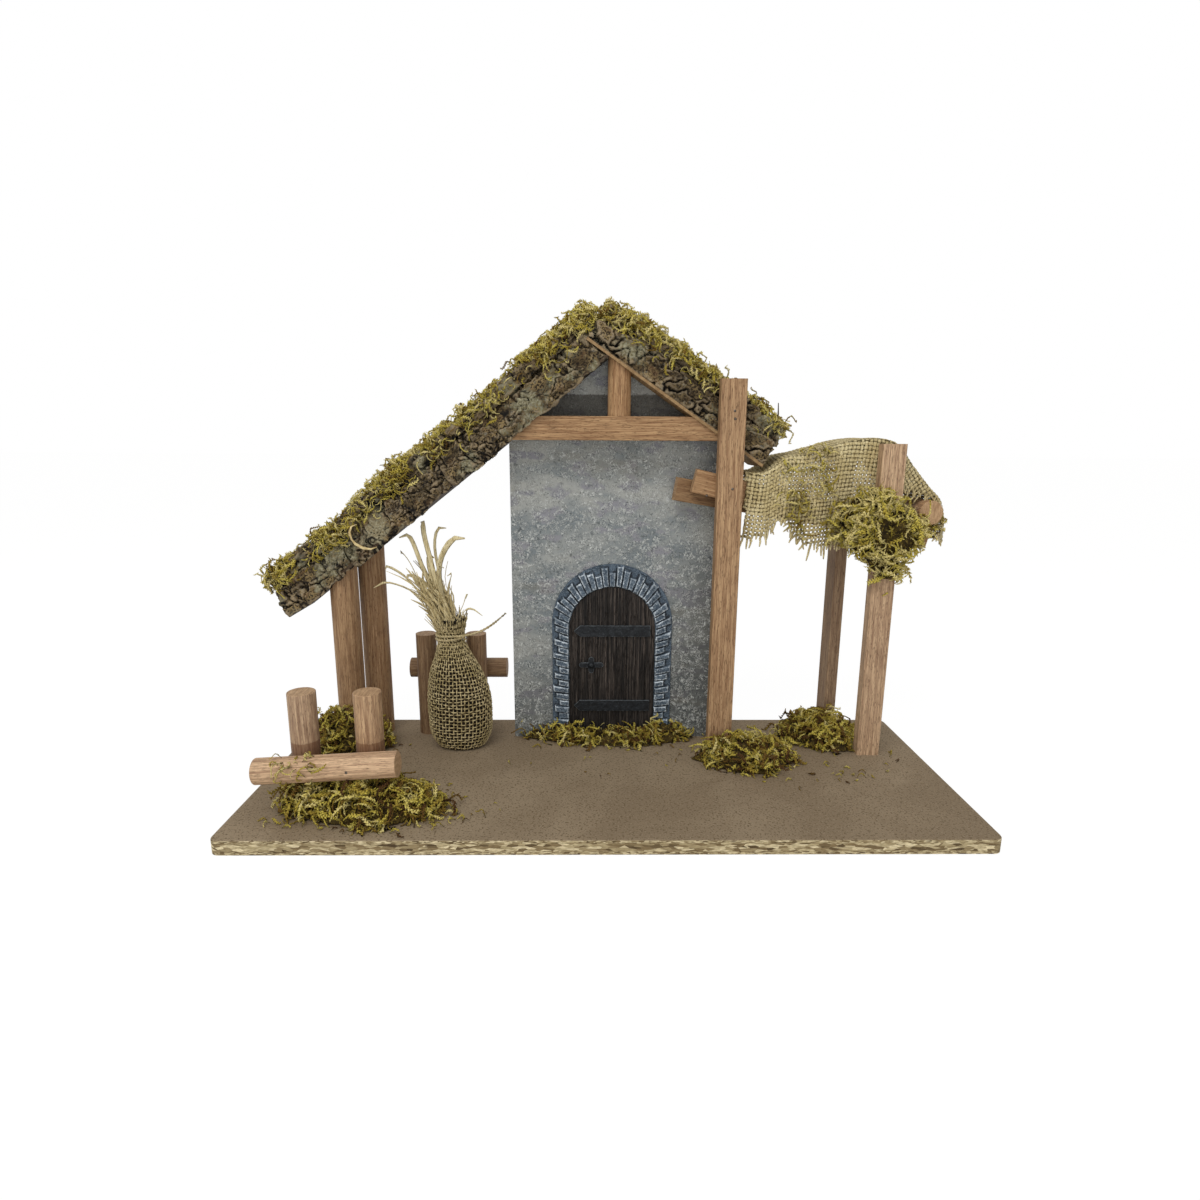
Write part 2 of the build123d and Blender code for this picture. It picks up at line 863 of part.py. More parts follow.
with BuildPart() as rear_fence_post_right:
    with BuildSketch(floor):
        with Locations(rear_right_foot):
            Circle(rear_fence_radius)
    extrude(amount=rear_fence_height)
    pilot_hole(rear_right_foot)

with BuildPart() as rear_fence_rail:
    rail_y = rear_fence_y + 2 * rear_fence_radius + fence_clearance
    rail_end = Plane(origin=(rear_rail_left_x, rail_y, rear_rail_z), z_dir=(1, 0, 0))
    with BuildSketch(rail_end):
        Circle(rear_fence_radius)
    extrude(amount=rear_rail_length)

# Sack: a stuffed body that swells and gathers in to a neck and collar.
# Each section is (share of the neck height, share of the full girth)
sack_girth = ((0, 0.72), (0.1, 0.92), (0.3, 1.0), (0.5, 0.98), (0.72, 0.78), (0.88, 0.52))
neck_base = base_thickness + sack_neck_height
collar_top = neck_base + sack_collar_height

with BuildPart() as sack:
    for rise, girth in sack_girth:
        shift = (sack_neck_x - sack_x) * rise**2
        with BuildSketch(floor.offset(rise * sack_neck_height)):
            with Locations((sack_x + shift, sack_y)):
                Ellipse(girth * sack_half_width, girth * sack_half_depth)
    for rise in (-0.5, 0.6):
        with BuildSketch(floor.offset(sack_neck_height + rise * sack_collar_height)):
            with Locations((sack_neck_x, sack_y)):
                Circle(sack_neck_radius)
    with BuildSketch(Plane.XY.offset(collar_top)):
        with Locations((sack_neck_x, sack_y)):
            Circle(sack_neck_radius)
    loft(ruled=True)

# Straw: a bundle that leans out of the collar, with loose stems and bent blades
straw_top = collar_top + straw_height
golden_turn = pi * (3 - 5**0.5)

with BuildPart() as straw_sheaf:
    for rise, spread in ((0, 0.8), (0.4, 1.06), (1, 0.92)):
        with BuildSketch(Plane.XY.offset(collar_top + rise * straw_height)):
            with Locations((sack_neck_x - rise * straw_lean, sack_y)):
                Circle(spread * straw_radius)
    loft(ruled=True)
    straw_middle = Vector(sack_neck_x - straw_lean, sack_y, straw_top)
    for stem in range(straw_stems):
        turn = stem * golden_turn
        reach = 0.8 * straw_radius * ((stem + 0.5) / straw_stems) ** 0.5
        aside = Vector(reach * cos(turn), reach * sin(turn), 0)
        aim = Vector(-straw_lean / straw_height, 0, 1) + aside * (0.4 / straw_radius)
        length = stem_length * (1 + (stem * stem_order) % straw_stems / straw_stems)
        with BuildSketch(Plane(origin=straw_middle + aside - aim * stem_radius, z_dir=aim)):
            RegularPolygon(stem_radius, 3)
        extrude(amount=length)
    for blade in range(straw_blades):
        turn = 2 * pi * (blade + 0.5) / straw_blades
        aside = Vector(cos(turn), sin(turn), 0)
        foot = straw_middle + aside * (0.6 * straw_radius) - Vector(0, 0, blade_thickness)
        lean = (aside - Vector(straw_lean / straw_height, 0, 0)) * blade_bend
        half_way = foot + Vector(0, 0, 0.55 * blade_length) + lean * 0.3
        tip = foot + Vector(0, 0, blade_length) + lean
        with BuildLine() as blade_line:
            ThreePointArc(foot, half_way, tip)
        across = Vector(-sin(turn), cos(turn), 0)
        with BuildSketch(Plane(origin=foot, x_dir=across, z_dir=blade_line.line % 0)):
            Rectangle(blade_width, blade_thickness)
        sweep(path=blade_line.line)

# Twine: wound round the neck, its tail led off to the right
twine_wrap_radius = sack_neck_radius + twine_radius + twine_clearance
twine_low = neck_base - twine_turns * twine_pitch / 2 + sack_collar_height / 4


def twine_point(turns):
    """Point on the winding, counted in turns from its lower end to the front of the neck."""
    angle = 2 * pi * (turns - twine_turns) - pi / 2
    return Vector(
        sack_neck_x + twine_wrap_radius * cos(angle),
        sack_y + twine_wrap_radius * sin(angle),
        twine_low + turns * twine_pitch,
    )


def twine_heading(turns):
    """Direction of the winding there."""
    angle = 2 * pi * (turns - twine_turns) - pi / 2
    around = 2 * pi * twine_wrap_radius
    return Vector(-around * sin(angle), around * cos(angle), twine_pitch).normalized()


def middle_of_biarc(start, start_heading, end, end_heading):
    """Where two equal-reach arcs between two points and headings meet."""
    gap = end - start
    headings = start_heading + end_heading
    spread = 2 * (1 - start_heading.dot(end_heading))
    lean = gap.dot(headings)
    reach = (-lean + (lean**2 + spread * gap.dot(gap)) ** 0.5) / spread
    return (start + end + (start_heading - end_heading) * reach) * 0.5


with BuildPart() as sack_tie:
    quarter_turns = round(4 * twine_turns)
    with BuildLine() as twine_line:
        for quarter in range(quarter_turns):
            start = twine_point(quarter / 4)
            end = twine_point((quarter + 1) / 4)
            heading = twine_heading(quarter / 4)
            meet = middle_of_biarc(start, heading, end, twine_heading((quarter + 1) / 4))
            first_arc = TangentArc(start, meet, tangent=heading)
            TangentArc(meet, end, tangent=first_arc % 1)
        tail_start = twine_point(twine_turns)
        tail_middle = tail_start + Vector(0.55 * twine_tail_reach, 0, 0.22 * twine_tail_rise)
        tail_end = tail_start + Vector(twine_tail_reach, 0, twine_tail_rise)
        tail_arc = TangentArc(tail_start, tail_middle, tangent=twine_heading(twine_turns))
        TangentArc(tail_middle, tail_end, tangent=tail_arc % 1)
    with BuildSketch(Plane(origin=twine_point(0), z_dir=twine_heading(0))):
        Circle(twine_radius)
    sweep(path=twine_line.wires()[0])

twine_points = [twine_point(step / 48 * twine_turns) for step in range(49)]
turn_steps = 48 / twine_turns
twine_gap = min(
    (twine_points[late] - twine_points[early]).length - 2 * twine_radius
    for early in range(49)
    for late in range(49)
    if late - early > turn_steps / 2
)
print("least gap between the twine's turns:", round(twine_gap, 2), "mm")


# Moss on the base: low mounds with an uneven rim
mound_rim = (1, 0.86, 1.05, 0.8, 0.98, 1.08, 0.82, 0.94, 1.1, 0.88)


def mound(centre_x, centre_y, half_length, half_depth, height):
    """Loft of three uneven outlines, from the floor to a flattened top."""
    outlines = []
    for rise, spread in ((0, 1), (0.55, 0.82), (1, 0.4)):
        with BuildSketch(floor.offset(rise * height)) as outline:
            Polygon(
                *[
                    (
                        centre_x + spread * rim * half_length * cos(2 * pi * step / len(mound_rim)),
                        centre_y + spread * rim * half_depth * sin(2 * pi * step / len(mound_rim)),
                    )
                    for step, rim in enumerate(mound_rim)
                ],
                align=None,
            )
        outlines.append(outline.sketch)
    loft(outlines, ruled=True)


with BuildPart() as moss_fence:
    mound(
        (fence_left_x + fence_right_x) / 2 + moss_fence_shift,
        fence_y - moss_fence_forward,
        moss_fence_half_length,
        moss_fence_half_depth,
        moss_fence_height,
    )
    add(fence_rail.part, mode=Mode.SUBTRACT)
    for post, foot in ((fence_post_left, fence_left_foot), (fence_post_right, fence_right_foot)):
        add(post.part, mode=Mode.SUBTRACT)
        pilot_hole(foot)

with BuildPart() as moss_left_posts:
    mound(
        left_front_post_x,
        left_front_post_y - moss_left_forward,
        moss_left_half_length,
        moss_left_half_depth,
        moss_left_height,
    )
    for post, foot in ((left_post_front, left_front_foot), (left_post_back, left_back_foot)):
        add(post.part, mode=Mode.SUBTRACT)
        pilot_hole(foot)

with BuildPart() as moss_door:
    mound(door_centre_x, moss_door_back, moss_door_half_length, moss_door_half_depth, moss_door_height)
    split(bisect_by=facing_front(moss_door_back), keep=Keep.TOP)

with BuildPart() as moss_tall_post:
    mound(
        tall_post_centre_x + moss_tall_shift,
        tall_post_front - moss_tall_forward,
        moss_tall_half_length,
        moss_tall_half_depth,
        moss_tall_height,
    )
    add(tall_post.part, mode=Mode.SUBTRACT)
    pilot_hole(tall_post_foot)
    add(moss_door.part, mode=Mode.SUBTRACT)

with BuildPart() as moss_awning_posts:
    mound(
        awning_back_foot.X - moss_awning_shift,
        awning_back_foot.Y - moss_awning_forward,
        moss_awning_half_length,
        moss_awning_half_depth,
        moss_awning_height,
    )
    add(awning_post_back.part, mode=Mode.SUBTRACT)
    pilot_hole(awning_rear_foot)

# Moss over the joint of the front awning post, hanging lower in front of it.
# Each section is (height, middle x, half width, half depth)
joint_sections = (
    (123, 168, 5, 4),
    (134, 167, 11, 5.5),
    (145, 165, 23, 7),
    (156, 163, 26, 7.5),
    (166, 159, 19, 6.5),
    (174, 158, 9, 4.5),
)
joint_back = cloth_front - cloth_clearance

with BuildPart() as moss_awning_joint:
    for height, middle, half_width, half_depth in joint_sections:
        with BuildSketch(Plane.XY.offset(height)):
            Polygon(
                *[
                    (
                        middle + rim * half_width * cos(2 * pi * step / len(mound_rim)),
                        joint_back - lath_depth + rim * half_depth * sin(2 * pi * step / len(mound_rim)),
                    )
                    for step, rim in enumerate(mound_rim)
                ],
                align=None,
            )
    loft(ruled=True)
    split(bisect_by=facing_front(joint_back), keep=Keep.TOP)
    add(awning_front_stick.part, mode=Mode.SUBTRACT)
    add(awning_cross_dowel.part, mode=Mode.SUBTRACT)

pieces = {
    "base_board": base_board,
    "base_nails": base_nails,
    "back_panel": back_panel,
    "door_arch": door_arch,
    "door_leaf": door_leaf,
    "door_strap_upper": door_strap_upper,
    "door_strap_lower": door_strap_lower,
    "door_latch": door_latch,
    "tie_beam": tie_beam,
    "king_post": king_post,
    "tall_post": tall_post,
    "left_post_front": left_post_front,
    "left_post_back": left_post_back,
    "roof_board_left": roof_board_left,
    "roof_board_right": roof_board_right,
    "bark_left_upper": bark_left_upper,
    "bark_left_middle": bark_left_middle,
    "bark_left_eave": bark_left_eave,
    "bark_right": bark_right,
    "moss_roof_left": moss_roof_left,
    "moss_roof_right": moss_roof_right,
    "awning_rail_front": awning_rail_front,
    "awning_rail_back": awning_rail_back,
    "awning_cross_dowel": awning_cross_dowel,
    "awning_post_front": awning_front_stick,
    "awning_post_back": awning_post_back,
    "awning_cloth": awning_cloth,
    "moss_awning_joint": moss_awning_joint,
    "fence_post_left": fence_post_left,
    "fence_post_right": fence_post_right,
    "fence_rail": fence_rail,
    "rear_fence_post_left": rear_fence_post_left,
    "rear_fence_post_right": rear_fence_post_right,
    "rear_fence_rail": rear_fence_rail,
    "sack": sack,
    "straw_sheaf": straw_sheaf,
    "sack_tie": sack_tie,
    "moss_fence": moss_fence,
    "moss_left_posts": moss_left_posts,
    "moss_door": moss_door,
    "moss_tall_post": moss_tall_post,
    "moss_awning_posts": moss_awning_posts,
}

for name, piece in pieces.items():
    piece.part.label = name
    export_step(piece.part, f"parts/{name}.step")
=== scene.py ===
from math import cos, pi, radians, sin, tan

import bmesh
import bpy
import numpy as np
from mathutils import Matrix, Vector, noise


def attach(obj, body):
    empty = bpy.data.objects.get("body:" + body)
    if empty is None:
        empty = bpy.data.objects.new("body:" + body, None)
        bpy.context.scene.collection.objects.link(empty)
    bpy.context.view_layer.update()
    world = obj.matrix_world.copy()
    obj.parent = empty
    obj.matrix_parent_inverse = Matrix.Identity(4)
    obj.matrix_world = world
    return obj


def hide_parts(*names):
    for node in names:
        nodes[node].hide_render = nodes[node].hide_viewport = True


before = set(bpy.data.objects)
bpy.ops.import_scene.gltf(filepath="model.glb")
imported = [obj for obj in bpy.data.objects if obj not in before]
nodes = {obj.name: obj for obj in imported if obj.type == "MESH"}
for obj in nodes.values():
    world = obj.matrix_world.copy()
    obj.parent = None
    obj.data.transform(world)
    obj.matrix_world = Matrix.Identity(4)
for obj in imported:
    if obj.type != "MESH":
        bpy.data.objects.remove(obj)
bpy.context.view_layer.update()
scene = bpy.context.scene
mm = 0.001


# The studio: a camera in front and a little above, a pale floor and a white surround.
# A broad lamp hangs in front and above, and a second stands low in front.
class Value:
    """An output of a node, which can be reckoned with like a number."""

    def __init__(self, socket):
        self.socket = socket
        self.tree = socket.id_data

    def __add__(self, other):
        return reckon("ADD", self, other)

    def __sub__(self, other):
        return reckon("SUBTRACT", self, other)

    def __rsub__(self, other):
        return reckon("SUBTRACT", other, self)

    def __mul__(self, other):
        return reckon("MULTIPLY", self, other)

    def __truediv__(self, other):
        return reckon("DIVIDE", self, other)

    def __rtruediv__(self, other):
        return reckon("DIVIDE", other, self)


def tree_of(*values):
    """The node tree that the values belong to."""
    return next(each.tree for each in values if isinstance(each, Value))


def place(tree, kind, inputs=None, **settings):
    """Add a node, set its options, and give each input a number, a colour or a link."""
    node = tree.nodes.new(kind)
    for option, setting in settings.items():
        setattr(node, option, setting)
    for key, value in (inputs or {}).items():
        named = [each for each in node.inputs if each.enabled and each.name == key]
        socket = named[0] if named else node.inputs[key]
        if isinstance(value, Value):
            tree.links.new(value.socket, socket)
        else:
            socket.default_value = value
    return node


def take(node, label=None):
    """An output of a node by its label, or else the first that is in use."""
    if label:
        return Value(node.outputs[label])
    return Value(next(each for each in node.outputs if each.enabled))


def reckon(operation, first, second=0.0):
    """The result of a sum on two values."""
    return take(place(tree_of(first, second), "ShaderNodeMath", {0: first, 1: second}, operation=operation))


scene.view_settings.view_transform = "Standard"

camera_data = bpy.data.cameras.new("front_camera")
camera_data.sensor_width = 36
camera_data.lens = 21.751
front_camera = bpy.data.objects.new("front_camera", camera_data)
front_camera.matrix_world = (
    Matrix.Translation((-9.718 * mm, -407.647 * mm, 204.105 * mm))
    @ Matrix.Rotation(radians(-0.785), 4, "Z")
    @ Matrix.Rotation(radians(90 - 12.555), 4, "X")
    @ Matrix.Rotation(radians(0.319), 4, "Z")
)
scene.collection.objects.link(front_camera)
scene.camera = front_camera


def seen_directly(tree):
    """One for what the camera, a mirror or glass sees, zero for light on the object."""
    path = place(tree, "ShaderNodeLightPath")
    seen = reckon("MAXIMUM", take(path, "Is Camera Ray"), take(path, "Is Glossy Ray"))
    return reckon("MAXIMUM", seen, take(path, "Is Transmission Ray"))


def clear_tree(owner):
    """The emptied node tree of a material or a world."""
    owner.use_nodes = True
    owner.node_tree.nodes.clear()
    return owner.node_tree


white = (1, 1, 1, 1)
world = bpy.data.worlds.new("white_surround")
sky_tree = clear_tree(world)
sky_light = take(place(sky_tree, "ShaderNodeBackground", {"Color": (1, 0.99, 0.97, 1), "Strength": 0.54}))
sky_white = take(place(sky_tree, "ShaderNodeBackground", {"Color": white, "Strength": 1}))
sky = place(sky_tree, "ShaderNodeMixShader", {0: seen_directly(sky_tree), 1: sky_light, 2: sky_white})
place(sky_tree, "ShaderNodeOutputWorld", {"Surface": take(sky)})
scene.world = world

# Where the floor is seen it mostly glows white, so only a faint shadow of the object shows on it.
floor_reach = 9
floor_level = -0.3 * mm
glow_share = 0.9
glow_strength = 1.055
floor_material = bpy.data.materials.new("pale_floor")
floor_tree = clear_tree(floor_material)
floor_paint = take(place(floor_tree, "ShaderNodeBsdfDiffuse", {"Color": (0.86, 0.86, 0.85, 1)}))
floor_glow = take(place(floor_tree, "ShaderNodeEmission", {"Color": white, "Strength": glow_strength}))
glow_seen = seen_directly(floor_tree) * glow_share
floor_mix = place(floor_tree, "ShaderNodeMixShader", {0: glow_seen, 1: floor_paint, 2: floor_glow})
place(floor_tree, "ShaderNodeOutputMaterial", {"Surface": take(floor_mix)})
floor_mesh = bpy.data.meshes.new("pale_floor")
floor_corners = [
    (-floor_reach, -floor_reach, floor_level),
    (floor_reach, -floor_reach, floor_level),
    (floor_reach, floor_reach, floor_level),
    (-floor_reach, floor_reach, floor_level),
]
floor_mesh.from_pydata(floor_corners, [], [(0, 1, 2, 3)])
floor_mesh.materials.append(floor_material)
floor = bpy.data.objects.new("pale_floor", floor_mesh)
scene.collection.objects.link(floor)


def hang_lamp(name, spot, aim, width, power):
    """A square lamp at a spot, turned towards the point it lights."""
    lamp_data = bpy.data.lights.new(name, "AREA")
    lamp_data.shape = "SQUARE"
    lamp_data.size = width
    lamp_data.energy = power
    lamp = bpy.data.objects.new(name, lamp_data)
    lamp.visible_camera = False
    direction = Vector(aim) - Vector(spot)
    lamp.matrix_world = Matrix.Translation(spot) @ direction.to_track_quat("-Z", "Y").to_matrix().to_4x4()
    scene.collection.objects.link(lamp)


hang_lamp("overhead_lamp", (-0.35, -0.75, 1.2), (0, 0, 0.12), 0.7, 7.2)
hang_lamp("low_lamp", (0.1, -0.9, 0.16), (0, 0.04, 0.12), 0.5, 1.5)


# The base: a chipboard plank on which everything stands. Its top is painted a dull brown,
# and its sawn edges are bare and show the pressed flakes, finer towards both faces.
def screen(red, green, blue):
    """A colour given as it looks on a screen, from 0 to 255."""
    parts = []
    for part in (red, green, blue):
        share = part / 255
        parts.append(share / 12.92 if share < 0.04045 else ((share + 0.055) / 1.055) ** 2.4)
    return (*parts, 1)


def start_material(name, roughness):
    """A plain material to build on: its shader and the object's own coordinates."""
    material = bpy.data.materials.new(name)
    tree = clear_tree(material)
    shader = place(tree, "ShaderNodeBsdfPrincipled", {"Roughness": roughness, "Specular IOR Level": 0.25})
    place(tree, "ShaderNodeOutputMaterial", {"Surface": take(shader)})
    return material, shader, take(place(tree, "ShaderNodeTexCoord"), "Object")


def feed(node, label, value):
    """Link a value to an input of a node."""
    value.tree.links.new(value.socket, node.inputs[label])


def spread(value, low, high, bottom=0.0, top=1.0):
    """A value stretched from one range to another, smooth at both ends."""
    ends = {"Value": value, "From Min": low, "From Max": high, "To Min": bottom, "To Max": top}
    return take(place(value.tree, "ShaderNodeMapRange", ends, interpolation_type="SMOOTHSTEP"))


def blend(factor, first, second):
    """A mix of two colours."""
    colours = {0: factor, 6: first, 7: second}
    mix = place(tree_of(factor, first, second), "ShaderNodeMix", colours, data_type="RGBA")
    return Value(mix.outputs[2])


def between(factor, first, second):
    """A mix of two plain values."""
    values = {"Factor": factor, "A": first, "B": second}
    return take(place(factor.tree, "ShaderNodeMix", values, data_type="FLOAT"))


def grainy(spot, scale, detail=3.0, roughness=0.55, distortion=0.0):
    """Even noise at a scale."""
    inputs = {"Vector": spot, "Scale": scale, "Detail": detail, "Roughness": roughness}
    inputs["Distortion"] = distortion
    return take(place(spot.tree, "ShaderNodeTexNoise", inputs))


def stretched(spot, scale, turn=(0, 0, 0), shift=(0, 0, 0)):
    """Coordinates stretched, turned and shifted."""
    inputs = {"Vector": spot, "Location": shift, "Rotation": turn, "Scale": scale}
    return take(place(spot.tree, "ShaderNodeMapping", inputs))


def axis_of(vector, axis):
    """One part of a vector or of coordinates."""
    return take(place(vector.tree, "ShaderNodeSeparateXYZ", {0: vector}), axis)


def surface_normal(tree):
    """The way a surface faces, in a material."""
    return take(place(tree, "ShaderNodeNewGeometry"), "Normal")


def ramp(value, first, last, stops):
    """Colours along a value from 0 to 1, with stops on the way."""
    node = place(value.tree, "ShaderNodeValToRGB", {0: value})
    elements = node.color_ramp.elements
    elements[0].color = first
    elements[1].color = last
    for stop, colour in stops:
        elements.new(stop).color = colour
    return take(node)


def raise_surface(shader, height, distance, strength=1.0):
    """Fine relief on a material."""
    inputs = {"Height": height, "Distance": distance, "Strength": strength}
    feed(shader, "Normal", take(place(height.tree, "ShaderNodeBump", inputs)))


def start_tree(name, kind, sockets_in, sockets_out):
    """An empty group or geometry tree: the tree, its inputs as values, and its output node."""
    tree = bpy.data.node_groups.new(name, kind)
    for direction, sockets in (("INPUT", sockets_in), ("OUTPUT", sockets_out)):
        for label, socket_kind in sockets.items():
            tree.interface.new_socket(label, in_out=direction, socket_type="NodeSocket" + socket_kind)
    given = tree.nodes.new("NodeGroupInput")
    made = tree.nodes.new("NodeGroupOutput")
    return tree, {each.name: Value(each) for each in given.outputs if each.name}, made


# Mottling, used in most of the finishes: broad patches of two colours
# with fine specks of a third.
mottle, given, made = start_tree(
    "mottle",
    "ShaderNodeTree",
    {
        "Vector": "Vector",
        "First": "Color",
        "Second": "Color",
        "Speck": "Color",
        "Patch scale": "Float",
        "Speck scale": "Float",
        "Speck share": "Float",
    },
    {"Color": "Color", "Patches": "Float"},
)
patches = spread(grainy(given["Vector"], given["Patch scale"], 5, 0.6, 0.4), 0.36, 0.64)
speck_low = 0.78 - given["Speck share"]
specks = spread(grainy(given["Vector"], given["Speck scale"], 2, 0.5), speck_low, speck_low + 0.07)
feed(made, "Color", blend(specks, blend(patches, given["First"], given["Second"]), given["Speck"]))
feed(made, "Patches", patches)


def mottled(spot, first, second, speck, patch_scale, speck_scale, speck_share):
    """The colour of mottling placed in a material."""
    inputs = {
        "Vector": spot,
        "First": first,
        "Second": second,
        "Speck": speck,
        "Patch scale": patch_scale,
        "Speck scale": speck_scale,
        "Speck share": speck_share,
    }
    return take(place(spot.tree, "ShaderNodeGroup", inputs, node_tree=mottle), "Color")


def patches_in(mottling):
    """The broad patches of a mottled colour, as a mask."""
    return take(mottling.socket.node, "Patches")


def chipboard():
    """Painted top, bare flaked edges and underside."""
    material, shader, spot = start_material("chipboard", 0.85)
    top = spread(axis_of(surface_normal(spot.tree), "Z"), 0.45, 0.8)
    flakes = []
    for long, tall in ((4.5, 1.15), (2.2, 0.5)):
        drawn = stretched(spot, (1 / (long * mm), 1 / (long * mm), 1 / (tall * mm)))
        cells = place(spot.tree, "ShaderNodeTexVoronoi", {"Vector": drawn, "Scale": 1.0, "Randomness": 1.0})
        flakes.append(take(place(spot.tree, "ShaderNodeSeparateColor", {0: take(cells, "Color")}), "Red"))
    from_middle = reckon("ABSOLUTE", axis_of(spot, "Z") - 4 * mm)
    flake = between(spread(from_middle, 1.6 * mm, 2.8 * mm), flakes[0], flakes[1])
    flake_stops = ((0.22, screen(136, 117, 84)), (0.55, screen(180, 163, 125)))
    flake_colour = ramp(flake, screen(76, 61, 40), screen(236, 220, 180), flake_stops)
    splinter = grainy(stretched(spot, (0.25, 0.25, 1)), 1500, 3)
    edge = blend(spread(splinter, 0.35, 0.62), screen(92, 74, 50), flake_colour)
    edge = blend(0.62, edge, flake_colour)
    brown = screen(150, 133, 109)
    painted = mottled(spot, brown, screen(134, 117, 94), screen(110, 94, 72), 14.0, 900.0, 0.22)
    painted = blend(spread(grainy(spot, 1400, 2), 0.62, 0.72), painted, screen(168, 152, 128))
    feed(shader, "Base Color", blend(top, edge, painted))
    raise_surface(shader, between(top, flake + splinter, grainy(spot, 1100, 3) * 0.7), 0.35 * mm, 0.8)
    return material


def dress(node, material):
    """Give a solid of the frame its finish."""
    slots = nodes[node].data.materials
    slots.clear()
    slots.append(material)


dress("base_board", chipboard())


# The nails: bright wire nails with flat heads, driven up through the base into each post.
# Only their heads show, sunk flush in the underside.
def nail_steel(name, first, second, speck):
    """Drawn wire, a little dull."""
    material, shader, spot = start_material(name, 0.4)
    shader.inputs["Metallic"].default_value = 1
    worn = mottled(spot, first, second, speck, 700.0, 2600.0, 0.2)
    feed(shader, "Base Color", worn)
    feed(shader, "Roughness", spread(patches_in(worn), 0, 1, 0.32, 0.55))
    return material


bright_steel = nail_steel("nail_steel", screen(150, 150, 152), screen(118, 116, 114), screen(92, 78, 66))
dress("base_nails", bright_steel)


# The back wall: a thin fibreboard panel cut to the gable. Its front is painted as old plaster,
# blue grey with paler and darker clouds and a crust of fine worms; its back is bare.
def painted_panel():
    """Plaster paint in front, bare fibreboard behind and on the edges."""
    material, shader, spot = start_material("painted_panel", 0.8)
    height = axis_of(spot, "Z")
    front = spread(axis_of(surface_normal(spot.tree), "Y"), -0.5, -0.8)
    cloud_spot = stretched(spot, (0.7, 1, 1.5))
    pale = screen(170, 171, 166)
    plaster = mottled(cloud_spot, pale, screen(123, 130, 133), screen(140, 140, 146), 24.0, 60.0, 0.24)
    right_part = reckon("MAXIMUM", axis_of(spot, "X"), 12 * mm) * -1.5
    damp = spread(height + grainy(spot, 22, 4) * (80 * mm) + right_part, 120 * mm, 10 * mm)
    plaster = blend(damp * 0.75, plaster, screen(76, 78, 75))
    tea = spread(grainy(stretched(spot, (0.6, 1, 2.2), shift=(3, 0, 1)), 30, 4), 0.56, 0.74)
    plaster = blend(tea * 0.35, plaster, screen(126, 118, 100))
    from_worm = reckon("ABSOLUTE", grainy(spot, 470, 3, 0.5, 1.4) - 0.5)
    unbroken = spread(grainy(spot, 330, 3), 0.4, 0.56)
    pale_worm = spread(from_worm, 0.066, 0.025) * unbroken
    plaster = blend(pale_worm * 0.85, plaster, screen(208, 211, 208))
    plaster = blend(spread(from_worm, 0.1, 0.2) * 0.68, plaster, screen(60, 65, 66))
    # A dark band with a crisp top edge just above the tie beam: painted shadow of the beam on the panel.
    beam_shadow_edge = height + grainy(spot, 90, 3) * (1.5 * mm)
    beam_shadow = spread(height, 206 * mm, 208 * mm) * spread(beam_shadow_edge, 231.6 * mm, 230.4 * mm)
    plaster = blend(beam_shadow * 0.72, plaster, screen(58, 52, 42))
    bare = screen(150, 121, 86)
    board = mottled(spot, bare, screen(134, 105, 72), screen(112, 85, 56), 40.0, 1300.0, 0.2)
    feed(shader, "Base Color", blend(front, board, plaster))
    raise_surface(shader, pale_worm + grainy(spot, 240, 3) * 0.8, 0.5 * mm, 0.8)
    return material


dress("back_panel", painted_panel())


# The door surround: one casting in plaster, a ring of rough stones set round a plank door.
# It is painted slate, then brushed nearly dry with white, which catches only the high edges.
def take_mesh(node):
    """A copy of a solid's mesh with its loose triangles joined up."""
    shell = bmesh.new()
    shell.from_mesh(nodes[node].data)
    bmesh.ops.remove_doubles(shell, verts=shell.verts, dist=0.002 * mm)
    mesh = bpy.data.meshes.new(node + "_copy")
    shell.to_mesh(mesh)
    shell.free()
    return mesh


def run_tree(tree, mesh, settings, voxel=0.0):
    """Run a geometry tree on a mesh and give back the plain mesh that it makes."""
    carrier = bpy.data.objects.new("carrier", mesh)
    scene.collection.objects.link(carrier)
    if voxel:
        fine = carrier.modifiers.new("fine", "REMESH")
        fine.mode = "VOXEL"
        fine.voxel_size = voxel
        fine.use_smooth_shade = True
    grow = carrier.modifiers.new("grow", "NODES")
    grow.node_group = tree
    for item in tree.interface.items_tree:
        if item.in_out == "INPUT" and item.name in settings:
            grow[item.identifier] = settings[item.name]
    depsgraph = bpy.context.evaluated_depsgraph_get()
    made = bpy.data.meshes.new_from_object(
        carrier.evaluated_get(depsgraph), preserve_all_data_layers=True, depsgraph=depsgraph
    )
    bpy.data.objects.remove(carrier)
    return made


def add_piece(name, mesh, slot, *replaced):
    """Put a finished mesh in the scene, riding on the stable and standing for its solids."""
    mesh.name = name
    piece = bpy.data.objects.new(name, mesh)
    scene.collection.objects.link(piece)
    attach(piece, "root")
    if replaced:
        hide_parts(*replaced)
    return piece


def vectors(operation, first, second):
    """A sum on two vectors."""
    tree = tree_of(first, second)
    return take(place(tree, "ShaderNodeVectorMath", {0: first, 1: second}, operation=operation))


def scaled(vector, factor):
    """A vector made longer or shorter."""
    return take(place(vector.tree, "ShaderNodeVectorMath", {0: vector, "Scale": factor}, operation="SCALE"))


def measured(operation, first, second):
    """One number from two vectors, such as their distance."""
    node = place(first.tree, "ShaderNodeVectorMath", {0: first, 1: second}, operation=operation)
    return take(node, "Value")


def recorded(geometry, name, value, domain="POINT"):
    """The geometry with a value recorded on it for the paint to follow."""
    inputs = {"Geometry": geometry, "Name": name, "Value": value}
    node = place(geometry.tree, "GeometryNodeStoreNamedAttribute", inputs, data_type="FLOAT", domain=domain)
    return take(node)


def noted(tree, name):
    """A value that was recorded on the mesh."""
    return take(place(tree, "ShaderNodeAttribute", attribute_name=name), "Fac")


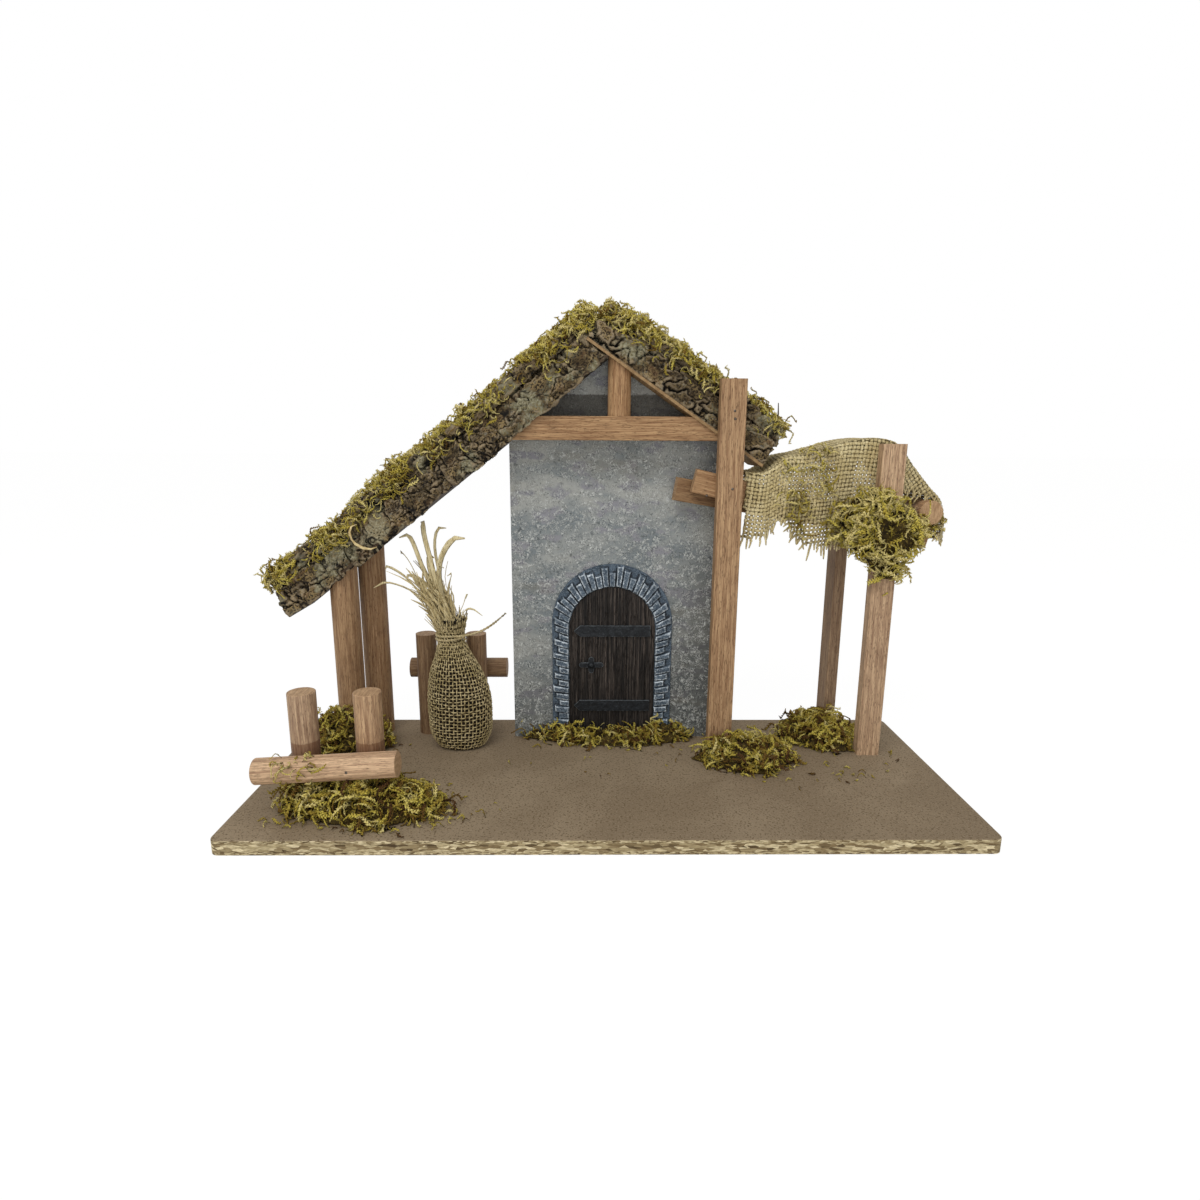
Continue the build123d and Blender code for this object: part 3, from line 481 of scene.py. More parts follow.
# Relief, used on the casting, the ironwork, the bark and the beds of moss: cracks between plates,
# lumps of two sizes, and a record of cracks and high edges for the paint to follow.
relief_sizes = (
    "Plate size",
    "Crack width",
    "Crack depth",
    "Plate step",
    "Lump size",
    "Lump height",
    "Grit size",
    "Grit height",
)
relief_inputs = {"Geometry": "Geometry"}
relief_inputs.update({label: "Float" for label in relief_sizes})
relief_inputs.update({label: "Vector" for label in ("Stretch", "Shift", "Bed", "Sag")})
relief_inputs["Finish"] = "Material"
relief, given, made = start_tree("relief", "GeometryNodeTree", relief_inputs, {"Geometry": "Geometry"})
at = take(place(relief, "GeometryNodeInputPosition"))
normal = take(place(relief, "GeometryNodeInputNormal"))
plate_size = given["Plate size"]

# The cracks wander a little off the edges of the plates.
shifted = vectors("ADD", at, given["Shift"])
drawn_out = vectors("MULTIPLY", shifted, given["Stretch"])
wander_inputs = {"Vector": drawn_out, "Scale": 1.3 / plate_size, "Detail": 3.0}
wander = take(place(relief, "ShaderNodeTexNoise", wander_inputs), "Color")
wandered = vectors("SUBTRACT", wander, (0.5, 0.5, 0.5))
crack_spot = vectors("ADD", drawn_out, scaled(wandered, plate_size * 1.5))
crack_floors = []
plate_levels = []
for share in (1.0, 0.38):
    cell_size = plate_size * share
    cells = {"Vector": crack_spot, "Scale": 1.0 / cell_size}
    edges = place(relief, "ShaderNodeTexVoronoi", cells, feature="DISTANCE_TO_EDGE")
    plates = place(relief, "ShaderNodeTexVoronoi", cells, feature="F1")
    plate_levels.append((axis_of(take(plates, "Color"), "X") - 0.5) * (2.0 * share))
    from_crack = take(edges, "Distance") * cell_size
    crack_floors.append(1.0 - spread(from_crack, 0.0, given["Crack width"] * share))
patchy = spread(grainy(shifted, 0.35 / plate_size), 0.4, 0.62)
crack = reckon("MAXIMUM", crack_floors[0], crack_floors[1] * patchy * 0.45)
deep = spread(grainy(drawn_out, 0.6 / plate_size, 3), 0.36, 0.6, 0.25, 1.3)

# The height is that of the lumps and the grit, less the cracks, plus the steps from plate to plate.
lump = grainy(drawn_out, 1.0 / given["Lump size"], 4, 0.55)
grit = grainy(shifted, 1.0 / given["Grit size"], 3, 0.6)
height = (lump - 0.5) * (given["Lump height"] * 2.6) + (grit - 0.5) * (given["Grit height"] * 2.6)
height = height - crack * deep * given["Crack depth"]
height = height + (plate_levels[0] + plate_levels[1]) * (1.0 - crack) * given["Plate step"]

# The side that is bedded on something stays as it is, and the front may sag.
free = 1.0 - spread(measured("DOT_PRODUCT", normal, given["Bed"]), 0.3, 0.75)
in_front = spread(axis_of(normal, "Y") * -1.0, 0.25, 0.85)
hanging = spread(grainy(shifted, 48, 4, 0.6), 0.25, 0.65, 0.25, 1.0) * in_front
moved = vectors("ADD", scaled(normal, height * free), scaled(given["Sag"], hanging))
carved = take(place(relief, "GeometryNodeSetPosition", {"Geometry": given["Geometry"], "Offset": moved}))
carved = recorded(carved, "crack", crack * deep)
blurred = {"Value": at, "Iterations": 7}
smoothed = take(place(relief, "GeometryNodeBlurAttribute", blurred, data_type="FLOAT_VECTOR"))
proud = measured("DOT_PRODUCT", vectors("SUBTRACT", at, smoothed), normal)
carved = recorded(carved, "edge", proud / given["Grit height"])
carved = take(place(relief, "GeometryNodeSetShadeSmooth", {"Geometry": carved, "Shade Smooth": True}))
carved = take(place(relief, "GeometryNodeSetMaterial", {"Geometry": carved, "Material": given["Finish"]}))
feed(made, "Geometry", carved)


def relief_plan(finish, sizes, bed, stretch=(1, 1, 1), shift=(0, 0, 0), sag=(0, 0, 0)):
    """What the relief needs: its eight sizes in mm, and the side it is bedded on."""
    plan = {label: size * mm for label, size in zip(relief_sizes, sizes)}
    plan.update({"Stretch": stretch, "Shift": shift, "Bed": bed, "Sag": sag, "Finish": finish})
    return plan


def cast_stone():
    """Slate paint with white dry brushing on the high edges."""
    material, shader, spot = start_material("cast_stone", 0.62)
    edge = noted(spot.tree, "edge")
    grey_blue = screen(78, 93, 108)
    slate = mottled(spot, grey_blue, screen(52, 63, 75), screen(112, 125, 136), 190.0, 1500.0, 0.24)
    strokes = grainy(stretched(spot, (1, 1, 1.8)), 620, 5, 0.68)
    brushed = spread(edge + strokes * 2.0, 1.15, 2.2)
    stone_face = spread(axis_of(spot, "Y"), 48.2 * mm, 47.6 * mm)
    worn_away = spread(grainy(spot, 150, 3, 0.6), 0.36, 0.6, 0.25, 1.0)
    coat = blend(brushed * stone_face * worn_away * 0.92, slate, screen(214, 224, 232))
    coat = blend(spread(edge, -0.1, -0.9) * 0.85, coat, screen(20, 24, 28))
    feed(shader, "Base Color", coat)
    raise_surface(shader, strokes, 0.25 * mm, 0.5)
    return material


door_centre_x = 4.5 * mm
arch_outer = 39 * mm
arch_inner = 28 * mm
arch_outer_spring = 87 * mm
arch_inner_spring = 83 * mm
panel_front = 50 * mm
backing = 1.4 * mm
base_top = 8 * mm
crown_stones = 23
leg_stones = 17
joint_share = 0.06
stone_lengths = (0.98, 0.66, 0.9, 0.6, 0.82)
stone_depths = (3.4, 2.7, 3.6, 2.9, 3.2)

# The stones are shaken out of line in the same way on each run.
noise.seed_set(7)


def stone_block(shell, inner_low, outer_low, outer_high, inner_high, depth, seed):
    """One stone: an uneven block that tapers a little towards its face."""
    middle = (inner_low + outer_low + outer_high + inner_high) / 4
    rings = []
    for level, share in ((0.0, 1.0), (0.55, 0.97), (1.0, 0.84)):
        ring = []
        for number, corner in enumerate((inner_low, outer_low, outer_high, inner_high)):
            shake = noise.noise_vector(Vector((seed * 3.7, number * 2.3, level * 5.1))) * 0.55 * mm
            flat = middle + (corner - middle) * share
            deep_in = panel_front - depth * level + shake.y * level
            ring.append(shell.verts.new((flat.x + shake.x, deep_in, flat.y + shake.z)))
        rings.append(ring)
    shell.faces.new(rings[0])
    shell.faces.new(reversed(rings[2]))
    for low, high in ((rings[0], rings[1]), (rings[1], rings[2])):
        for number in range(4):
            after = (number + 1) % 4
            shell.faces.new((low[after], low[number], high[number], high[after]))


def crown_joint(number):
    """The inner and outer end of a joint between two stones of the crown."""
    angle = pi * number / crown_stones
    around = Vector((cos(angle), sin(angle)))
    inner = Vector((door_centre_x, arch_inner_spring)) + around * arch_inner
    outer = Vector((door_centre_x, arch_outer_spring)) + around * arch_outer
    return inner, outer


def leg_joint(side, number):
    """The inner and outer end of a joint between two stones of a leg."""
    share = number / leg_stones
    inner_z = base_top + share * (arch_inner_spring - base_top)
    outer_z = base_top + share * (arch_outer_spring - base_top)
    inner = Vector((door_centre_x + side * arch_inner, inner_z))
    outer = Vector((door_centre_x + side * arch_outer, outer_z))
    return inner, outer


def stone_ring():
    """The backing and the stones, long and short by turns, over the crown and up both legs."""
    shell = bmesh.new()
    shell.from_mesh(take_mesh("door_arch"))
    for corner in shell.verts:
        if corner.co.y < panel_front - 1.5 * mm:
            corner.co.y = panel_front - backing
    courses = [(crown_joint(number), crown_joint(number + 1)) for number in range(crown_stones)]
    for side in (-1, 1):
        courses += [(leg_joint(side, number), leg_joint(side, number + 1)) for number in range(leg_stones)]
    for number, (low, high) in enumerate(courses):
        reach = stone_lengths[number % 5]
        depth = stone_depths[number % 5] * mm
        corners = []
        for (inner, outer), other in ((low, high), (high, low)):
            start = inner.lerp(other[0], joint_share)
            end = outer.lerp(other[1], joint_share)
            corners.append((start, start.lerp(end, reach)))
        stone_block(shell, corners[0][0], corners[0][1], corners[1][1], corners[1][0], depth, number)
    bmesh.ops.recalc_face_normals(shell, faces=shell.faces)
    mesh = bpy.data.meshes.new("stones")
    shell.to_mesh(mesh)
    shell.free()
    return mesh


wall_side = (0, 1, 0)
stone_plan = relief_plan(cast_stone(), (9, 0.3, 0.1, 0.0, 3, 0.3, 0.9, 0.16), wall_side)
stones = run_tree(relief, stone_ring(), stone_plan, 0.36 * mm)
add_piece("door_arch_stones", stones, "cast_stone", "door_arch")


# The door: upright planks cast with the surround and stained almost black, with two iron straps
# and a cross-shaped latch. The straps and latch stand proud and are painted black.
# Grain, for the door, the sticks and the roof boards, has rings as wavy bands and pores as short dashes.
grain, given, made = start_tree(
    "grain",
    "ShaderNodeTree",
    {"Vector": "Vector", "Light": "Color", "Dark": "Color", "Ring pitch": "Float", "Pores": "Float"},
    {"Color": "Color", "Rough": "Float", "Height": "Float"},
)
slow = stretched(given["Vector"], (1, 1, 0.07))
bend = axis_of(slow, "X") + axis_of(slow, "Y") * 0.6 + grainy(slow, 70, 3) * (16 * mm)
band = reckon("SINE", bend / given["Ring pitch"] * (2 * pi)) * 0.5 + 0.5
fibre = grainy(stretched(given["Vector"], (1, 1, 0.03)), 2100, 4, 0.6)
dashes = grainy(stretched(given["Vector"], (1, 1, 0.12)), 2700, 2, 0.5)
pore = spread(dashes, 0.58, 0.66) * given["Pores"]
tone = band * 0.08 + fibre * 0.9 + (grainy(slow, 160, 3) - 0.5) * 0.2
wood_tone = blend(spread(tone, 0.31, 0.72), given["Dark"], given["Light"])
pore_tone = blend(0.62, given["Dark"], screen(40, 24, 14))
feed(made, "Color", blend(pore, wood_tone, pore_tone))
feed(made, "Rough", spread(fibre, 0.2, 0.8, 0.5, 0.72))
feed(made, "Height", fibre - pore * 0.8)


def grained(spot, light, dark, ring_pitch, pores):
    """The colour, roughness and height of wood placed in a material."""
    inputs = {"Vector": spot, "Light": light, "Dark": dark, "Ring pitch": ring_pitch, "Pores": pores}
    wood = place(spot.tree, "ShaderNodeGroup", inputs, node_tree=grain)
    return take(wood, "Color"), take(wood, "Rough"), take(wood, "Height")


def door_stain():
    """Dark stained planks with deep weathered grain."""
    material, shader, spot = start_material("door_stain", 0.7)
    along = stretched(spot, (1, 1, 0.6))
    stain, rough, height = grained(along, screen(100, 90, 83), screen(10, 9, 8), 2.1 * mm, 0.9)
    wet = spread(axis_of(spot, "Z"), 70 * mm, 15 * mm)
    stain = blend(wet * 0.45, stain, screen(30, 27, 26))
    streaks = grainy(stretched(spot, (1, 1, 0.03)), 1250, 3, 0.6)
    stain = blend(spread(streaks, 0.4, 0.6) * 0.8, stain, screen(9, 8, 8))
    feed(shader, "Base Color", stain)
    feed(shader, "Roughness", rough)
    raise_surface(shader, height, 0.8 * mm, 1.0)
    return material


def black_iron():
    """Black paint with a little grey rubbed on its edges."""
    material, shader, spot = start_material("black_iron", 0.5)
    paint = mottled(spot, screen(23, 27, 31), screen(14, 16, 19), screen(40, 45, 50), 260.0, 1600.0, 0.2)
    rubbed = spread(noted(spot.tree, "edge"), 0.7, 1.8)
    feed(shader, "Base Color", blend(rubbed * 0.5, paint, screen(104, 110, 114)))
    feed(shader, "Roughness", spread(patches_in(paint), 0, 1, 0.42, 0.62))
    return material


dress("door_leaf", door_stain())
iron = black_iron()
for number, node in enumerate(("door_strap_upper", "door_strap_lower", "door_latch")):
    iron_sizes = (20, 0.2, 0.0, 0.0, 2.4, 0.22, 0.7, 0.06)
    iron_plan = relief_plan(iron, iron_sizes, wall_side, shift=(0.1 * number, 0, 0))
    add_piece(node + "_iron", run_tree(relief, take_mesh(node), iron_plan, 0.22 * mm), "black_iron", node)


# The sticks: planed laths and turned dowels of a reddish hardwood, glued and pinned together.
# They are oiled, so the pores show as short dark dashes along each stick; the ends show the saw's marks.
def stick_wood(name, along, light, dark, number, shadow_height):
    """Oiled hardwood whose grain follows the stick."""
    material, shader, spot = start_material(name, 0.6)
    turn = Vector(along).rotation_difference(Vector((0, 0, 1))).to_euler()
    straight = stretched(spot, (1, 1, 1), turn, (0.37 * number, 0.21 * number, 0.53 * number))
    ring_pitch = (3.1 + 0.4 * (number % 4)) * mm
    colour, rough, height = grained(straight, light, dark, ring_pitch, 0.66)
    facing = measured("DOT_PRODUCT", surface_normal(spot.tree), Vector(along).normalized())
    sawn = spread(reckon("ABSOLUTE", facing), 0.55, 0.85)
    kerf = grainy(stretched(straight, (1, 0.12, 1)), 1300, 3)
    end = blend(spread(kerf, 0.3, 0.7), screen(150, 117, 84), screen(202, 168, 130))
    colour = blend(sawn * 0.7, colour, end)
    grime = spread(grainy(straight, 55, 4), 0.56, 0.78)
    colour = blend(grime * 0.3, colour, screen(92, 64, 44))
    # The fence posts are darkened in a band just above the fence rail: painted shadow of the rail.
    above_base = axis_of(spot, "Z") + grainy(spot, 300, 3) * (1.4 * mm)
    rail_shadow = spread(above_base, shadow_height + 1.1 * mm, shadow_height + 0.3 * mm)
    feed(shader, "Base Color", blend(rail_shadow * 0.6, colour, screen(104, 66, 44)))
    feed(shader, "Roughness", rough)
    raise_surface(shader, height, 0.22 * mm, 0.7)
    return material


# Each stick: its solid, the way it runs, its tint, and how far it has faded from red to grey.
front_slope = radians(13)
fence_slope = radians(3.2)
sticks = (
    ("tie_beam", (1, 0, 0), 0.99, 0.0),
    ("king_post", (0, 0, 1), 1.02, 0.0),
    ("tall_post", (0, 0, 1), 1.02, 0.3),
    ("left_post_front", (0, 0, 1), 0.95, 0.2),
    ("left_post_back", (0, 0, 1), 0.96, 0.2),
    ("awning_rail_front", (cos(front_slope), 0, -sin(front_slope)), 0.99, 0.0),
    # The back awning rail's lower tint is painted shade: it lies further back, in the shade of the roof.
    ("awning_rail_back", (1, 0.17, -0.18), 0.86, 0.0),
    ("awning_cross_dowel", (0, 1, 0), 1.12, 0.4),
    ("awning_post_front", (0, 0, 1), 1.13, 0.9),
    ("awning_post_back", (0, 0, 1), 0.9, 0.8),
    ("fence_post_left", (0, 0, 1), 1.07, 1.0),
    ("fence_post_right", (0, 0, 1), 1.07, 0.6),
    ("fence_rail", (1, 0, tan(fence_slope)), 1.2, 0.9),
    ("rear_fence_post_left", (0, 0, 1), 0.8, 0.3),
    ("rear_fence_post_right", (0, 0, 1), 0.82, 0.3),
    ("rear_fence_rail", (1, 0, 0), 0.84, 0.3),
)
# Height up to which the fence posts carry the painted shadow of the fence rail.
rail_shadow_height = 45 * mm
for number, (stick, along, tint, faded) in enumerate(sticks):
    light_wood = screen(194 * tint, (157 + 9 * faded) * tint, (115 + 20 * faded) * tint)
    dark_wood = screen(132 * tint, (96 + 9 * faded) * tint, (64 + 19 * faded) * tint)
    shadow_height = rail_shadow_height if stick.startswith("fence_post") else -1.0
    dress(stick, stick_wood("wood_" + stick, along, light_wood, dark_wood, number, shadow_height))


# The pins: small steel heads where the sticks are pinned together.
# Each is a low dome on the stick's face, dulled with rust.
pin_spots = (
    (73.2, 22.0, 220.0),
    (73.6, 22.0, 215.6),
    (73.8, 22.0, 175.5),
    (60.0, 30.0, 171.0),
    (-135.1, -61.4, 35.6),
)
pin_shell = bmesh.new()
for spot in pin_spots:
    domed = Matrix.Translation(Vector(spot) * mm) @ Matrix.Diagonal((1, 0.45, 1, 1))
    bmesh.ops.create_uvsphere(pin_shell, u_segments=12, v_segments=8, radius=0.8 * mm, matrix=domed)
pin_heads = bpy.data.meshes.new("pin_heads")
pin_shell.to_mesh(pin_heads)
pin_shell.free()
pin_heads.shade_smooth()
pin_steel = nail_steel("pin_steel", screen(112, 104, 96), screen(74, 66, 58), screen(48, 38, 30))
pin_heads.materials.append(pin_steel)
add_piece("pin_heads", pin_heads, "nail_steel")


# The roof boards: thin plywood under the bark. The left one is coloured dark as painted shade, for its
# underside in shadow, and the right one shows its pale edge along the gable.
def roof_ply(name, light, dark):
    """Thin stained plywood, its grain from front to back."""
    material, shader, spot = start_material(name, 0.75)
    turned = stretched(spot, (1, 1, 1), (radians(90), 0, 0))
    colour, rough, height = grained(turned, light, dark, 5 * mm, 0.35)
    stain = spread(grainy(spot, 60, 4), 0.5, 0.75)
    feed(shader, "Base Color", blend(stain * 0.45, colour, screen(92, 70, 46)))
    raise_surface(shader, height, 0.2 * mm, 0.6)
    return material


# The left board's dark colours are painted shade; both boards are the same plywood.
dress("roof_board_left", roof_ply("roof_ply_left_shaded", screen(86, 70, 52), screen(52, 40, 29)))
dress("roof_board_right", roof_ply("roof_ply_right", screen(178, 150, 110), screen(132, 102, 68)))


# The bark: slabs of old bark with the wood left on, glued along both slopes. The outside breaks into
# plates between deep cracks, nearly black inside, and carries grey and green crusts of lichen.
def bark():
    """Weathered bark with lichen, and one pale worn spot near the left eave."""
    material, shader, spot = start_material("bark", 0.9)
    edge = noted(spot.tree, "edge")
    colour = mottled(spot, screen(142, 122, 84), screen(80, 66, 44), screen(42, 33, 22), 110.0, 900.0, 0.3)
    rusty = spread(grainy(stretched(spot, (1, 1, 1), shift=(7, 2, 4)), 130, 4), 0.52, 0.7)
    colour = blend(rusty * 0.5, colour, screen(120, 90, 62))
    colour = blend(spread(edge, 0.25, 1.4) * 0.6, colour, screen(172, 154, 126))
    growth_noise = grainy(stretched(spot, (1, 1, 1), shift=(1, 5, 3)), 42, 5, 0.62)
    colour = blend(spread(growth_noise, 0.5, 0.36) * 0.5, colour, screen(46, 36, 24))
    flecked = spread(grainy(spot, 900, 3, 0.6), 0.4, 0.6)
    lichen = blend(flecked, screen(112, 108, 80), screen(178, 174, 146))
    colour = blend(spread(growth_noise, 0.53, 0.64) * 0.75, colour, lichen)
    grey_noise = grainy(stretched(spot, (1, 1, 1), shift=(4, 1, 8)), 210, 4, 0.6)
    colour = blend(spread(grey_noise, 0.6, 0.7) * 0.5, colour, screen(142, 138, 124))
    from_pale = measured("DISTANCE", spot, pale_spot) + grainy(spot, 120, 3) * (16 * mm)
    pale = blend(flecked, screen(134, 124, 96), screen(186, 178, 148))
    colour = blend(spread(from_pale, 21 * mm, 16 * mm) * 0.7, colour, pale)
    dark = reckon("MAXIMUM", noted(spot.tree, "crack"), spread(edge, -0.4, -2.0))
    feed(shader, "Base Color", blend(dark * 0.97, colour, screen(14, 11, 8)))
    fine = grainy(spot, 1300, 4, 0.65) + grainy(spot, 380, 3) * 0.5
    raise_surface(shader, fine, 0.7 * mm, 0.9)
    return material


# Each slab: its solid, the way its outside faces, and in mm the size of its plates, the depth of its
# cracks and the sag of its front.
pale_spot = (-142 * mm, 28 * mm, 148 * mm)
left_pitch = radians(38.4)
right_pitch = radians(34.3)
left_out = Vector((-sin(left_pitch), 0, cos(left_pitch)))
right_out = Vector((sin(right_pitch), 0, cos(right_pitch)))
bark_finish = bark()
slabs = (
    ("bark_left_upper", left_out, 13.0, 2.88, 5.5),
    ("bark_left_middle", left_out, 15.0, 3.12, 5.5),
    ("bark_left_eave", left_out, 12.0, 2.4, 5.0),
    ("bark_right", right_out, 14.0, 2.88, 0.0),
)
for number, (slab, out, plate, crack_depth, sag) in enumerate(slabs):
    slab_sizes = (plate, 1.0, crack_depth, 0.7, 17, 3.0, 1.5, 0.34)
    slab_shift = (0.31 * number, 0.17 * number, 0.05)
    slab_sag = (-out + Vector((0, -0.5, 0))) * sag * mm
    slab_plan = relief_plan(bark_finish, slab_sizes, -out, (0.75, 1, 1.0), slab_shift, slab_sag)
    add_piece(slab + "_rough", run_tree(relief, take_mesh(slab), slab_plan, 0.66 * mm), "bark", slab)


# Loose ends of the bark: a curl of pale inner bark hangs from the front of the left slabs,
# and a dark twig stands up from the right one.
def inner_bark(name, first, second):
    """Smooth dry bast."""
    material, shader, spot = start_material(name, 0.7)
    feed(shader, "Base Color", mottled(spot, first, second, second, 300.0, 1500.0, 0.2))
    raise_surface(shader, grainy(spot, 1500, 3), 0.3 * mm, 0.6)
    return material


def unit(vectors_in):
    """Vectors brought to a length of one."""
    return vectors_in / (np.linalg.norm(vectors_in, axis=-1, keepdims=True) + 1e-12)


def strand(path, normals, widths, heights, sides):
    """Points and faces of a closed strand: rings along a path, flattened across its normals."""
    path = np.asarray(path, float)
    normals = np.asarray(normals, float)
    headings = unit(np.gradient(path, axis=0))
    normals = unit(normals - headings * np.sum(normals * headings, axis=1)[:, None])
    across = np.cross(normals, headings)
    turns = 2 * pi * np.arange(sides) / sides
    widths = np.broadcast_to(np.asarray(widths, float), len(path))
    heights = np.broadcast_to(np.asarray(heights, float), len(path))
    wide = across[:, None, :] * (np.cos(turns)[None, :] * widths[:, None] / 2)[:, :, None]
    tall = normals[:, None, :] * (np.sin(turns)[None, :] * heights[:, None] / 2)[:, :, None]
    points = (path[:, None, :] + wide + tall).reshape(-1, 3)
    faces = [tuple(reversed(range(sides)))]
    for ring in range(len(path) - 1):
        low = ring * sides
        for side in range(sides):
            after = (side + 1) % sides
            faces.append((low + side, low + after, low + sides + after, low + sides + side))
    faces.append(tuple(range((len(path) - 1) * sides, len(path) * sides)))
    return points, faces


def bundle(name, strands, material, notes=None):
    """One mesh of many strands, with a value recorded along each where it is given."""
    points = []
    faces = []
    first = 0
    for strand_points, strand_faces in strands:
        points.append(strand_points)
        faces.extend(tuple(corner + first for corner in face) for face in strand_faces)
        first += len(strand_points)
    mesh = bpy.data.meshes.new(name)
    mesh.from_pydata(np.concatenate(points).tolist(), [], faces)
    for label, values in (notes or {}).items():
        layer = mesh.attributes.new(label, "FLOAT", "POINT")
        layer.data.foreach_set("value", np.concatenate(values).astype(np.float32))
    mesh.shade_smooth()
    mesh.materials.append(material)
    mesh.update()
    return mesh


curl_route = (
    (-150.0, 28.4, 153.0),
    (-152.6, 26.8, 152.0),
    (-153.9, 26.2, 148.5),
    (-152.9, 26.2, 144.2),
    (-150.6, 26.4, 141.4),
    (-146.3, 26.4, 139.0),
    (-141.8, 26.4, 138.4),
    (-138.4, 27.4, 139.6),
)
curl_widths = np.array((0.5, 1.1, 1.5, 1.0, 1.8, 1.9, 1.2, 0.5)) * mm
curl_facing = np.tile((0.35, -1.0, 0.35), (8, 1))
curl_strand = strand(np.array(curl_route) * mm, curl_facing, curl_widths, 0.5 * mm, 6)
pale_bast = inner_bark("inner_bark", screen(224, 204, 154), screen(186, 160, 108))
add_piece("bark_curl", bundle("bark_curl", [curl_strand], pale_bast), "bark")

twig_route = ((100.5, 41, 204), (101.4, 40.5, 212), (102.8, 40, 219), (102.4, 39.6, 225.5))
twig_widths = np.array((1.2, 1.0, 0.9, 0.5)) * mm
twig_facing = np.tile((0, -1.0, 0), (4, 1))
twig_strand = strand(np.array(twig_route) * mm, twig_facing, twig_widths, 0.8 * mm, 6)
dark_twig = inner_bark("twig", screen(70, 58, 42), screen(40, 32, 24))
add_piece("bark_twig", bundle("bark_twig", [twig_strand], dark_twig), "bark")


# The moss: dried moss, olive to yellow green, pressed into glue on the roof, round the feet of the posts
# and over a joint of the awning. Each cushion has a dark matted bed and a coat of curled, feathery fronds.
def moss_fronds():
    """Dried moss: brown at the root, olive to straw at the tip, in patches."""
    material, shader, spot = start_material("moss_fronds", 0.8)
    shade = noted(spot.tree, "tint") + (grainy(spot, 70, 3, 0.6) - 0.5) * 1.5
    moss_stops = ((0.22, screen(128, 100, 40)), (0.5, screen(182, 162, 66)), (0.78, screen(214, 198, 94)))
    colour = ramp(shade, screen(84, 56, 24), screen(228, 212, 142), moss_stops)
    root = spread(noted(spot.tree, "along"), 0.55, 0.0)
    feed(shader, "Base Color", blend(root * 0.85, colour, screen(46, 33, 14)))
    raise_surface(shader, grainy(spot, 2200, 2), 0.3 * mm, 0.6)
    return material


def moss_bed():
    """The matted bed under the fronds."""
    material, shader, spot = start_material("moss_bed", 0.95)
    colour = mottled(spot, screen(82, 67, 30), screen(46, 36, 17), screen(124, 106, 46), 160.0, 700.0, 0.24)
    dark = spread(noted(spot.tree, "crack"), 0.2, 1.0)
    feed(shader, "Base Color", blend(dark * 0.7, colour, screen(28, 22, 12)))
    raise_surface(shader, grainy(spot, 900, 4, 0.65), 1.2 * mm)
    return material


def frond_line(length, curl, sway, steps):
    """The bent line of a frond, rising from its root and curling over."""
    line = [np.zeros(3)]
    for step in range(steps):
        share = (step + 0.5) / steps
        lean = 0.25 + curl * share**1.3
        side = sway * sin(2.2 * pi * share)
        line.append(line[-1] + unit(np.array((sin(lean), side, cos(lean)))) * length / steps)
    return np.array(line)


def spike(root, tip, width):
    """Points and faces of a leaf: a flat spike with three sides and a closed foot."""
    heading = unit(tip - root)
    above = unit(np.array((0.3, 0.2, 1.0)) - heading * np.dot((0.3, 0.2, 1.0), heading))
    across = np.cross(above, heading)
    half = across * width / 2
    points = np.array((root + half, root - half, root + above * width * 0.4, tip))
    return points, [(0, 1, 2), (0, 2, 3), (2, 1, 3), (1, 0, 3)]


def grow_frond(name, length, curl, sway, leaf, leaves, finish):
    """One frond: a thin bent stem with leaves along both sides, like a feather."""
    line = frond_line(length, curl, sway, 6)
    marks = np.linspace(0, 1, 7)
    stem = 0.75 * mm * np.array((0.8, 1.0, 1.0, 0.9, 0.8, 0.6, 0.3))
    strands = [strand(line, np.tile((0.3, 0.2, 1.0), (7, 1)), stem, stem * 0.8, 3)]
    along = [np.repeat(marks, 3)]
    for number in range(leaves):
        share = 0.16 + 0.8 * (number + 0.5) / leaves
        root = np.array([np.interp(share, marks, line[:, axis]) for axis in range(3)])
        after = np.array([np.interp(min(1.0, share + 0.1), marks, line[:, axis]) for axis in range(3)])
        ahead = unit(after - root)
        aside = np.cross(ahead, (0.35, 0.0, 1.0)) * (1 if number % 2 else -1)
        reach = leaf * (1.1 - 0.45 * share)
        tip = root + (ahead * 0.75 + aside + np.array((0, 0, 0.25))) * reach
        strands.append(spike(root, tip, 1.3 * mm))
        along.append(np.array((share * 0.8,) * 3 + (min(1.0, share + 0.35),)))
    return bpy.data.objects.new(name, bundle(name, strands, finish, {"along": along}))


# Each kind of frond: its length, curl and sway, the length of its leaves and how many it has.
frond_finish = moss_fronds()
bed_finish = moss_bed()
frond_kinds = bpy.data.collections.new("frond_kinds")
frond_plans = (
    ("frond_a", 13.0, 2.2, 0.9, 2.0, 13),
    ("frond_b", 9.5, 3.4, 0.6, 2.1, 10),
    ("frond_c", 7.5, -1.6, 0.8, 2.2, 8),
    ("frond_d", 16.0, 1.3, 1.3, 1.8, 15),
    ("frond_e", 8.5, 4.2, 0.4, 2.1, 9),
)
for label, length, curl, sway, leaf, leaves in frond_plans:
    frond_kinds.objects.link(grow_frond(label, length * mm, curl, sway, leaf * mm, leaves, frond_finish))

# Growth scatters the fronds in tufts over a bed, leaning every way, and lays them on the ground below.
growth, given, made = start_tree(
    "moss_growth",
    "GeometryNodeTree",
    {
        "Geometry": "Geometry",
        "Fronds per area": "Float",
        "Seed": "Int",
        "Least size": "Float",
        "Most size": "Float",
        "Least lean": "Float",
        "Most lean": "Float",
        "Bare below": "Float",
        "Tuft scale": "Float",
        "Least tint": "Float",
        "Most tint": "Float",
        "Ground": "Float",
        "Clear spot": "Vector",
        "Clear reach": "Float",
        "Kinds": "Collection",
        "Finish": "Material",
    },
    {"Geometry": "Geometry"},
)


def drawn_by_lot(least, most, seed):
    """A random value for each frond."""
    inputs = {"Min": least, "Max": most, "Seed": seed}
    return take(place(growth, "FunctionNodeRandomValue", inputs, data_type="FLOAT"))


